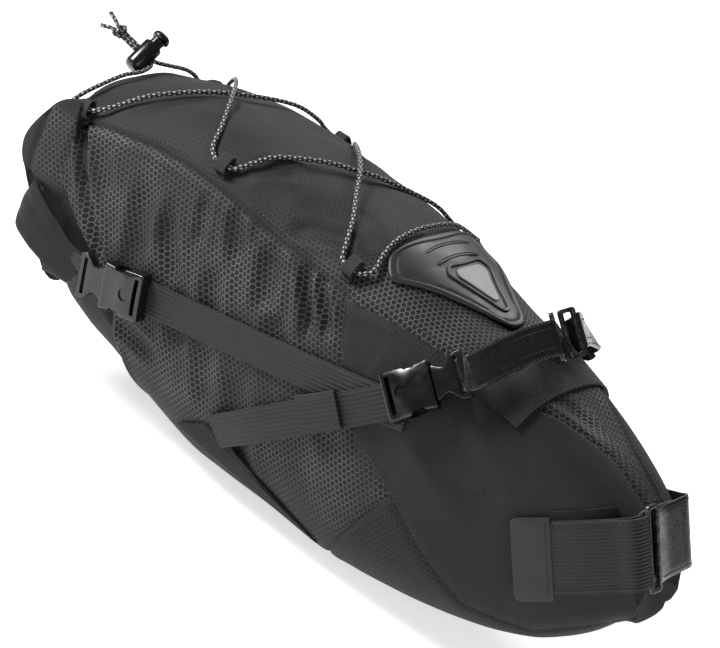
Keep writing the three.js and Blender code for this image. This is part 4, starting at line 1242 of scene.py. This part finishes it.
for sideName, sideSign in (("right", -1), ("left", 1)):
    makeFemale(f"tailBuckleFemale_{sideName}", f"tail_buckle_{sideName}_female", tailFrame(sideSign))
    makeMale(f"tailBuckleMale_{sideName}", f"tail_buckle_{sideName}_male", tailFrame(sideSign),
            "roll_top_end")
    makeFemale(f"frontBuckleFemale_{sideName}", f"front_buckle_{sideName}_female", frontFrame(sideSign))
    makeMale(f"frontBuckleMale_{sideName}", f"front_buckle_{sideName}_male", frontFrame(sideSign),
            f"front_male_{sideName}")
    for end in ("tail", "front"):
        for number in (1, 2):
            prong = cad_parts[f"{end}_buckle_{sideName}_prong_{number}"]
            prong.data.materials.clear()
            prong.data.materials.append(looks["plastic"])
print("buckles made")


# rail straps and their rings
railEnd = (2.5, 17.0, 26.0)


def makeRailStrap(name, side):
    place = frontFrame(side)
    crown = onTop(bandX, 0, 0)
    fold = Vector((crown.x + railEnd[0], side * railEnd[1], crown.z + railEnd[2]))
    start = place @ Vector((buckle["maleLength"] - 3.4, 0, 5.5))
    along = (place @ Vector((1, 0, 0)) - place @ Vector()).normalized()
    inward = (fold - start).normalized()
    path = smoothPath([start, start + along * 12, fold - inward * 24 + Vector((0, side * 2, 3)),
            fold + inward * 1.2], 16)
    first = (place @ Vector((0, 0, 1)) - place @ Vector()).normalized()
    across = Vector((-0.72, 0, 0.69)).normalized()
    normals = []
    for i, p in enumerate(path):
        ahead = (path[min(i + 1, len(path) - 1)] - path[max(i - 1, 0)]).normalized()
        last = ahead.cross(across) * side
        if last.z < 0:
            last = -last
        normals.append(first.lerp(last, fade(i / (len(path) - 1))))
    for i in range(len(path)):
        t = i / (len(path) - 1)
        dent = 0.5 * math.exp(-((t - 0.2) / 0.03) ** 2) + 0.6 * math.exp(-((t - 0.5) / 0.03) ** 2)
        path[i] = path[i] - normals[i].normalized() * (dent - 0.4 * math.sin(t * 17) * 0.5)
    made = band(f"railStrapLeather_{name}", path, normals, 24.6, 2.6)
    finishPiece(made, "leather", f"front_male_{name}", "leather_look", f"rail_strap_{name}", angle=50)
    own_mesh(made)
    number = len(path)
    sets = [(path[3:-3], (-10.6, 10.6)), (path[number - 20:number - 4], (-6.5, 6.5))]
    for k, (part, offsets) in enumerate(sets):
        at = 3 if k == 0 else number - 20
        ups = normals[at:at + len(part)]
        for m, offset in enumerate(offsets):
            line, lineUps = [], []
            for i, p in enumerate(part):
                ahead = (part[min(i + 1, len(part) - 1)] - part[max(i - 1, 0)]).normalized()
                up = (ups[i] - ahead * ups[i].dot(ahead)).normalized()
                line.append(p + up.cross(ahead) * offset + up * 1.5)
                lineUps.append(up)
            row = stitches(f"railStitch_{name}_{k}_{m}", line, lineUps, f"front_male_{name}", pitch=2.8,
                    long=1.9, thick=0.3)
            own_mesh(row)


for sideName, sideSign in (("right", -1), ("left", 1)):
    makeRailStrap(sideName, sideSign)
    softened(f"rail_ring_{sideName}", f"railRingMetal_{sideName}", 1.1, 3, "metal", "bag", "ring_metal")
    softened(f"ring_tab_{sideName}", f"ringTabWebbing_{sideName}", 0.5, 2, "plain", "bag", "webbing")
softened("seatpost_ring", "seatpostRingMetal", 1.1, 3, "metal", "bag", "ring_metal")
softened("nose_pad", "nosePadRubber", 1.0, 3, "rubber", "bag", "rubber_patch")
print("rail straps made")


# seatpost strap, label and ring tab
faceOut = Vector((math.cos(math.radians(32)), 0, math.sin(math.radians(32))))
faceUp = Vector((-faceOut.z, 0, faceOut.x))
faceCentre = Vector((267, 0, 128.064))
postStrap = {"width": 50.0, "thickness": 1.8, "rise": 11.0, "reach": 42.0, "padFront": 3.8, "near": -24.0,
        "far": -10.0}


def postPoint(forward, y):
    return faceCentre + faceOut * forward + faceUp * postStrap["rise"] + Vector((0, y, 0))


def noseHalf(forward):
    widest = 0.0
    up = -25
    while up <= 25:
        p = postPoint(forward, 0) + faceUp * up
        if p.x < 284:
            widest = max(widest, sideY(p.x, p.z))
        up += 5
    return widest


def noseRun(side, lift, start, end, steps):
    made = []
    for i in range(steps + 1):
        forward = start + (end - start) * i / steps
        made.append(postPoint(forward, side * (noseHalf(forward) + lift)))
    return made


def acrossNormals(points):
    made = []
    for i, p in enumerate(points):
        ahead = (points[min(i + 1, len(points) - 1)] - points[max(i - 1, 0)]).normalized()
        up = ahead.cross(faceUp).normalized()
        away = p - postPoint(-20, 0)
        made.append(up if up.dot(away) > 0 else -up)
    return made


def makePostStrap():
    pad, half = postStrap["padFront"], postStrap["thickness"] / 2
    lift = half + 0.6
    base = noseRun(-1, lift, -46, -3, 6) + [postPoint(pad + 1.2, -noseHalf(-3) + 4),
            postPoint(pad + 3.4, postStrap["near"] - 4)]
    path = smoothPath(base, 7)
    made = band("seatpostStrapBase", path, acrossNormals(path), 50, 1.8)
    finishPiece(made, "wide", "bag", "webbing", "seatpost_strap_base", angle=50)
    second = lift + 1.8 + 0.6
    end = ([postPoint(pad + 6.9, postStrap["near"] - 3.2), postPoint(pad + 4.6, -noseHalf(-3) + 1.5)]
           + noseRun(-1, second, -3, -postStrap["reach"], 6))
    path = smoothPath(end, 8)
    made = band("seatpostStrapEnd", path, acrossNormals(path), 49, 1.9)
    finishPiece(made, "wide", "seatpost_strap_free_end", "webbing", "seatpost_strap_end", angle=50)
    edgeStitches("strapEdgeStitch", path[6:], acrossNormals(path)[6:], (-22, 22), 1.15,
            "seatpost_strap_free_end", pitch=3.2)
    tag = noseRun(-1, second + 0.3, -postStrap["reach"] + 1.5, -postStrap["reach"] - 23.4, 14)
    rounded = [1.0] * len(tag)
    for i, drop in ((-1, 0.90), (-2, 0.975)):
        rounded[i] = drop
    made = band("labelTabRubber", tag, acrossNormals(tag), 56, 2.6, taper=rounded)
    finishPiece(made, "label", "seatpost_strap_free_end", "rubber_patch", "label_tab", angle=40)
    normals = acrossNormals(tag)
    over = [tag[2] + normals[2] * 1.6 + faceUp * (-25 + 50 * i / 20) for i in range(21)]
    stitches("labelStitch", over, [normals[2]] * 21, "seatpost_strap_free_end", pitch=2.6)
    tab = ([postPoint(pad + 4.6, postStrap["far"] + 1.05), postPoint(pad + 2.2, 6), postPoint(pad + 1.6, 26),
            postPoint(pad + 0.6, noseHalf(-3) - 2)] + noseRun(1, lift, -3, -40, 5))
    path = smoothPath(tab, 7)
    made = band("seatpostRingTabLeather", path, acrossNormals(path), 50, 1.8)
    finishPiece(made, "leather", "bag", "leather_look", "seatpost_ring_tab", angle=50)
    edgeStitches("ringTabStitch", path[3:], acrossNormals(path)[3:], (-22, 22), 1.1, "bag", pitch=3.0)
    # fuzzy hook-and-loop strip that shows above the strap
    strip = noseRun(-1, 1.3, -44, -6, 8)
    for i, p in enumerate(strip):
        strip[i] = p + faceUp * 27
        strip[i].y = -sideY(strip[i].x, strip[i].z) - 0.8
    path = smoothPath(strip, 4)
    made = band("fuzzyStrip", path, acrossNormals(path), 9, 1.6)
    finishPiece(made, "plain", "bag", "webbing", angle=50)


makePostStrap()
print("seatpost strap made")

# bungee: loops, cord, lock and knot
bungee = {"radius": 1.6, "sides": 14, "smooth": 5}
bungeeRoute = [
    (-239, -12, 204.5), (-239, -32, 203.5), (-240, -52, 197.5), (-242, -66, 190.5), (-243, -75, 184),
    (-237.4, -77.2, 183), (-229, -77, 186.2), (-220.7, -76.6, 189.7), (-212, -70, 197.5), (-198, -52, 213),
    (-178, -24, 225), (-158, 6, 230.8), (-140, 36, 231), (-131, 58, 222.5), (-128, 69, 215),
    (-121.5, 73.4, 212),
    (-113, 73.5, 212.6), (-104.5, 73, 213.3), (-98, 65, 218.8), (-90, 48, 227.8), (-75, 27, 235),
    (-62, 10, 238),
    (-48, -8, 238), (-32, -30, 231.8), (-16, -50, 223.5), (-5, -66, 213.5), (1.5, -73.4, 206.2),
    (10.2, -74.1, 205.7),
    (18.8, -73.4, 206), (23, -67, 210.8), (18.5, -56, 217.6), (14.5, -38, 225.2), (13.5, -8, 229.8),
    (14, 28, 228.2),
    (15, 48, 222.2), (20.5, 60, 215.8), (24.5, 69, 209), (21, 73.7, 205.7), (13.2, 74.1, 205.5),
    (4.5, 73.7, 206),
    (-6, 63, 215.8), (-16, 48, 224.5), (-40, 14, 233), (-55, -4, 233.8), (-70, -22, 233.5), (-90, -48, 227.8),
    (-97, -63, 220.4), (-103, -72.6, 213.6), (-111, -73.5, 212.7), (-119.5, -73.4, 212), (-128, -68, 216),
    (-136, -54, 224), (-150, -32, 232), (-160, -16, 233.4), (-172, 3, 232), (-184, 21, 227),
    (-198, 42, 217.5),
    (-211, 60, 204), (-217, 71, 195.5), (-221.5, 76.4, 189.4), (-229, 77, 186.2), (-237.4, 77.2, 183),
    (-243, 74, 185),
    (-243, 64, 192), (-242.5, 48, 198.8), (-242, 24, 204.5)]
lockAt = Vector((-251, 2, 210))
lockAxis = Vector((0, 0.71, 0.71)).normalized()
lockThrough = Vector((-0.9, -0.31, 0.31)).normalized()


def tube(name, points, radius, sides=14):
    rows, uvRows, run = [], [], 0.0
    up = Vector((0, 0, 1))
    for i, p in enumerate(points):
        ahead = (points[min(i + 1, len(points) - 1)] - points[max(i - 1, 0)]).normalized()
        up = (up - ahead * up.dot(ahead)).normalized()
        across = ahead.cross(up)
        if i:
            run += (p - points[i - 1]).length
        rows.append([spot(*(p + (up * math.cos(2 * math.pi * k / sides)
                + across * math.sin(2 * math.pi * k / sides)) * radius))
                     for k in range(sides)])
        uvRows.append([(run / 1000, k / sides) for k in range(sides + 1)])
    made = gridMesh(name, rows, uvRows, True)
    closeEnds(made)
    return made


def lockPoint(side, distance):
    return lockAt + lockAxis * side * 1.7 + lockThrough * distance


route = ([lockPoint(-1, d) for d in (22, 9, 0, -8.5)] + [Vector(p) for p in bungeeRoute]
         + [lockPoint(1, d) for d in (-8.5, 0, 9, 22)])
cord = tube("bungeeCordBraid", smoothPath(route, bungee["smooth"]), bungee["radius"], bungee["sides"])
finishPiece(cord, "braid", "bag", "bungee", "bungee_cord", angle=60)

eyelets = [("rear_right", -228, -73.5, 24), ("middle_right", -111, -70, 8), ("front_right", 10, -70.5, 0),
           ("rear_left", -228, 73.5, -24), ("middle_left", -113, 70, -8), ("front_left", 13, 70.5, 0)]


# a loop of narrow webbing, sewn down with a short tail
def makeEyelet(name, x, y, turn):
    up = topNormal(x, y)
    along = Vector((math.cos(math.radians(turn)), math.sin(math.radians(turn)), 0))
    side = up.cross(along).normalized()
    base = onTop(x, y, 0.9)
    outer = []
    for k in range(25):
        a = -math.pi / 2 + 2 * math.pi * k / 24
        c, s = math.cos(a), math.sin(a)
        outer.append(base + side * 6.6 * math.copysign(abs(c) ** 0.7, c)
                + up * (3.7 + 3.7 * math.copysign(abs(s) ** 0.7, s)))
    outward = -1 if y < 0 else 1
    tailWay = side * (1 if side.y * outward > 0 else -1)
    flat = [base + tailWay * (9.5 - 0.9 * i) for i in range(8)]
    normals = []
    middle = base + up * 3.7
    for p in outer:
        normals.append((p - middle).normalized())
    made = band(f"bungeeLoop_{name}", outer, normals, 9.6, 1.1)
    finishPiece(made, "ribs", "bag", "webbing", f"bungee_loop_{name}", angle=50)
    tail = band(f"bungeeLoopTail_{name}", flat, [up] * len(flat), 9.6, 1.0)
    finishPiece(tail, "ribs", "bag", "webbing", angle=50)


for place in eyelets:
    makeEyelet(*place)


def lathePiece(name, outline, steps=40):
    bpy.ops.object.select_all(action="DESELECT")
    mesh = bpy.data.meshes.new(name)
    mesh.from_pydata([(r, 0, z) for r, z in outline], [(i, i + 1) for i in range(len(outline) - 1)], [])
    made = bpy.data.objects.new(name, mesh)
    bpy.context.scene.collection.objects.link(made)
    onlySelect(made)
    bpy.ops.object.mode_set(mode="EDIT")
    bpy.ops.mesh.select_all(action="SELECT")
    bpy.ops.mesh.spin(steps=steps, angle=2 * math.pi, center=(0, 0, 0), axis=(0, 0, 1))
    bpy.ops.mesh.select_all(action="SELECT")
    bpy.ops.mesh.remove_doubles(threshold=0.01)
    bpy.ops.mesh.normals_make_consistent(inside=False)
    bpy.ops.object.mode_set(mode="OBJECT")
    return made


lockFrame = frameOf(lockAt - lockAxis * 14.4, lockThrough, lockAxis)
barrelOutline = [(0, 0), (3.5, 0), (5.6, 0.5), (6.9, 1.9), (7.4, 4), (7.5, 12), (7.5, 23), (7.2, 23.8),
        (6.4, 24),
                 (5.5, 23.6), (5.4, 23), (5.4, 2.5), (0, 2.5)]
plungerOutline = [(0, 8.9), (4.6, 8.9), (5.0, 9.4), (5.0, 29.4), (6.2, 29.8), (7.0, 30.8), (7.1, 32.4),
        (6.6, 33.8),
                  (5.2, 34.9), (3.0, 35.4), (0, 35.6)]
barrel = lathePiece("cordLockBarrel", barrelOutline)
carve(barrel, cubeAt("cordWay", (-20, -2.2, 10.5), (20, 2.2, 18.3)))
settle(barrel, lockFrame)
finishPiece(barrel, "plastic", "cord_lock", "buckle_plastic", "cord_lock_barrel", angle=35)
plunger = lathePiece("cordLockPlunger", plungerOutline)
carve(plunger, cubeAt("cordWay", (-20, -2.3, 10.4), (20, 2.3, 23.4)))
settle(plunger, lockFrame)
finishPiece(plunger, "plastic", "cord_lock_button", "buckle_plastic", "cord_lock_plunger", angle=35)
coil = {"radius": 3.3, "wire": 0.42, "turns": 4.5, "foot": 3.0, "head": 8.3, "keep": 0.2}


# the coil under the plunger shortens as the button is pressed
def makeSpring(form):
    points = []
    steps = int(form["turns"] * 28)
    for i in range(steps + 1):
        a = 2 * math.pi * form["turns"] * i / steps
        points.append(lockFrame @ Vector((form["radius"] * math.cos(a), form["radius"] * math.sin(a),
                                          form["foot"] + (form["head"] - form["foot"]) * i / steps)))
    made = tube("cordLockCoil", points, form["wire"], 10)
    finishPiece(made, "metal", "cord_lock", "ring_metal", "cord_lock_spring", angle=60)
    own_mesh(made)


makeSpring(coil)
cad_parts["base_stiffener"].data.materials.clear()
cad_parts["base_stiffener"].data.materials.append(looks["label"])


# an overhand knot in both ends, with two short tails
def makeKnot():
    at = lockAt + lockThrough * 24.6
    side = lockAxis
    up = lockThrough.cross(side).normalized()
    loop = []
    for k in range(64):
        a = 2 * math.pi * k / 64
        r = 3.2 + 1.3 * math.cos(3 * a)
        loop.append(at + side * r * math.cos(2 * a) + up * r * math.sin(2 * a)
                + lockThrough * 2.6 * math.sin(3 * a))
    made = tube("knotTurns", loop + loop[:1], 1.55, 12)
    finishPiece(made, "braid", "bag", "bungee", "cord_knot", angle=60)
    for number, (lean, reach) in enumerate(((0.32, 15), (-0.28, 13))):
        start = at + side * 1.2 * (1 if lean > 0 else -1)
        points = [start, start + lockThrough * 5 + side * lean * 4,
                start + lockThrough * 9 + side * lean * 10 + up * 1.5,
                  start + lockThrough * reach + side * lean * 16 + up * 3]
        tail = tube(f"knotTail_{number + 1}", smoothPath(points, 6), 1.55, 12)
        finishPiece(tail, "braid", "bag", "bungee", angle=60)


makeKnot()
print("bungee made")

# floor and light
studio = {"key": 62.0, "rim": 22.0, "fill": 9.0, "sky": 0.11, "floorGlow": 0.66}


def makeFloor():
    bpy.ops.object.select_all(action="DESELECT")
    bpy.ops.mesh.primitive_plane_add(size=14, location=(0, 0, -0.0006))
    floor = bpy.context.object
    floor.name = "studioFloor"
    material, tree, shader = newMaterial("floorPaint", (0.86, 0.86, 0.86), 0.9, 0.1)
    shine = node(tree, "ShaderNodeEmission")
    shine.inputs["Color"].default_value = (1, 1, 1, 1)
    rays = node(tree, "ShaderNodeLightPath")
    seen = calc(tree, "MULTIPLY", calc(tree, "MAXIMUM", rays.outputs["Is Camera Ray"],
            rays.outputs["Is Glossy Ray"]), studio["floorGlow"])
    tree.links.new(seen, shine.inputs["Strength"])
    both = node(tree, "ShaderNodeAddShader")
    tree.links.new(shader.outputs[0], both.inputs[0])
    tree.links.new(shine.outputs[0], both.inputs[1])
    tree.links.new(both.outputs[0], tree.nodes["Material Output"].inputs["Surface"])
    floor.data.materials.append(material)


def areaLight(name, place, target, size, power):
    data = bpy.data.lights.new(name, "AREA")
    data.energy = power
    data.shape = "RECTANGLE"
    data.size, data.size_y = size
    made = bpy.data.objects.new(name, data)
    made.location = place
    made.rotation_euler = (Vector(place) - Vector(target)).to_track_quat("Z", "Y").to_euler()
    bpy.context.scene.collection.objects.link(made)


def makeLight(power):
    areaLight("keyLight", (-1.5, -0.95, 1.6), (0, 0, 0.1), (0.9, 0.6), power["key"])
    areaLight("rimLight", (-0.6, 1.6, 1.5), (0, 0, 0.12), (1.8, 0.7), power["rim"])
    areaLight("fillLight", (1.7, -1.2, 0.9), (0.1, 0, 0.1), (0.9, 1.2), power["fill"])
    world = bpy.data.worlds.new("studioWorld")
    bpy.context.scene.world = world
    world.use_nodes = True
    tree = world.node_tree
    background = tree.nodes["Background"]
    rays = node(tree, "ShaderNodeLightPath")
    seen = calc(tree, "MAXIMUM", calc(tree, "MAXIMUM", rays.outputs["Is Camera Ray"],
            rays.outputs["Is Transmission Ray"]), power["sky"])
    tree.links.new(seen, background.inputs["Strength"])
    background.inputs["Color"].default_value = (1, 1, 1, 1)


makeFloor()
makeLight(studio)
bpy.context.scene.view_settings.view_transform = "Standard"

print("scene ready")
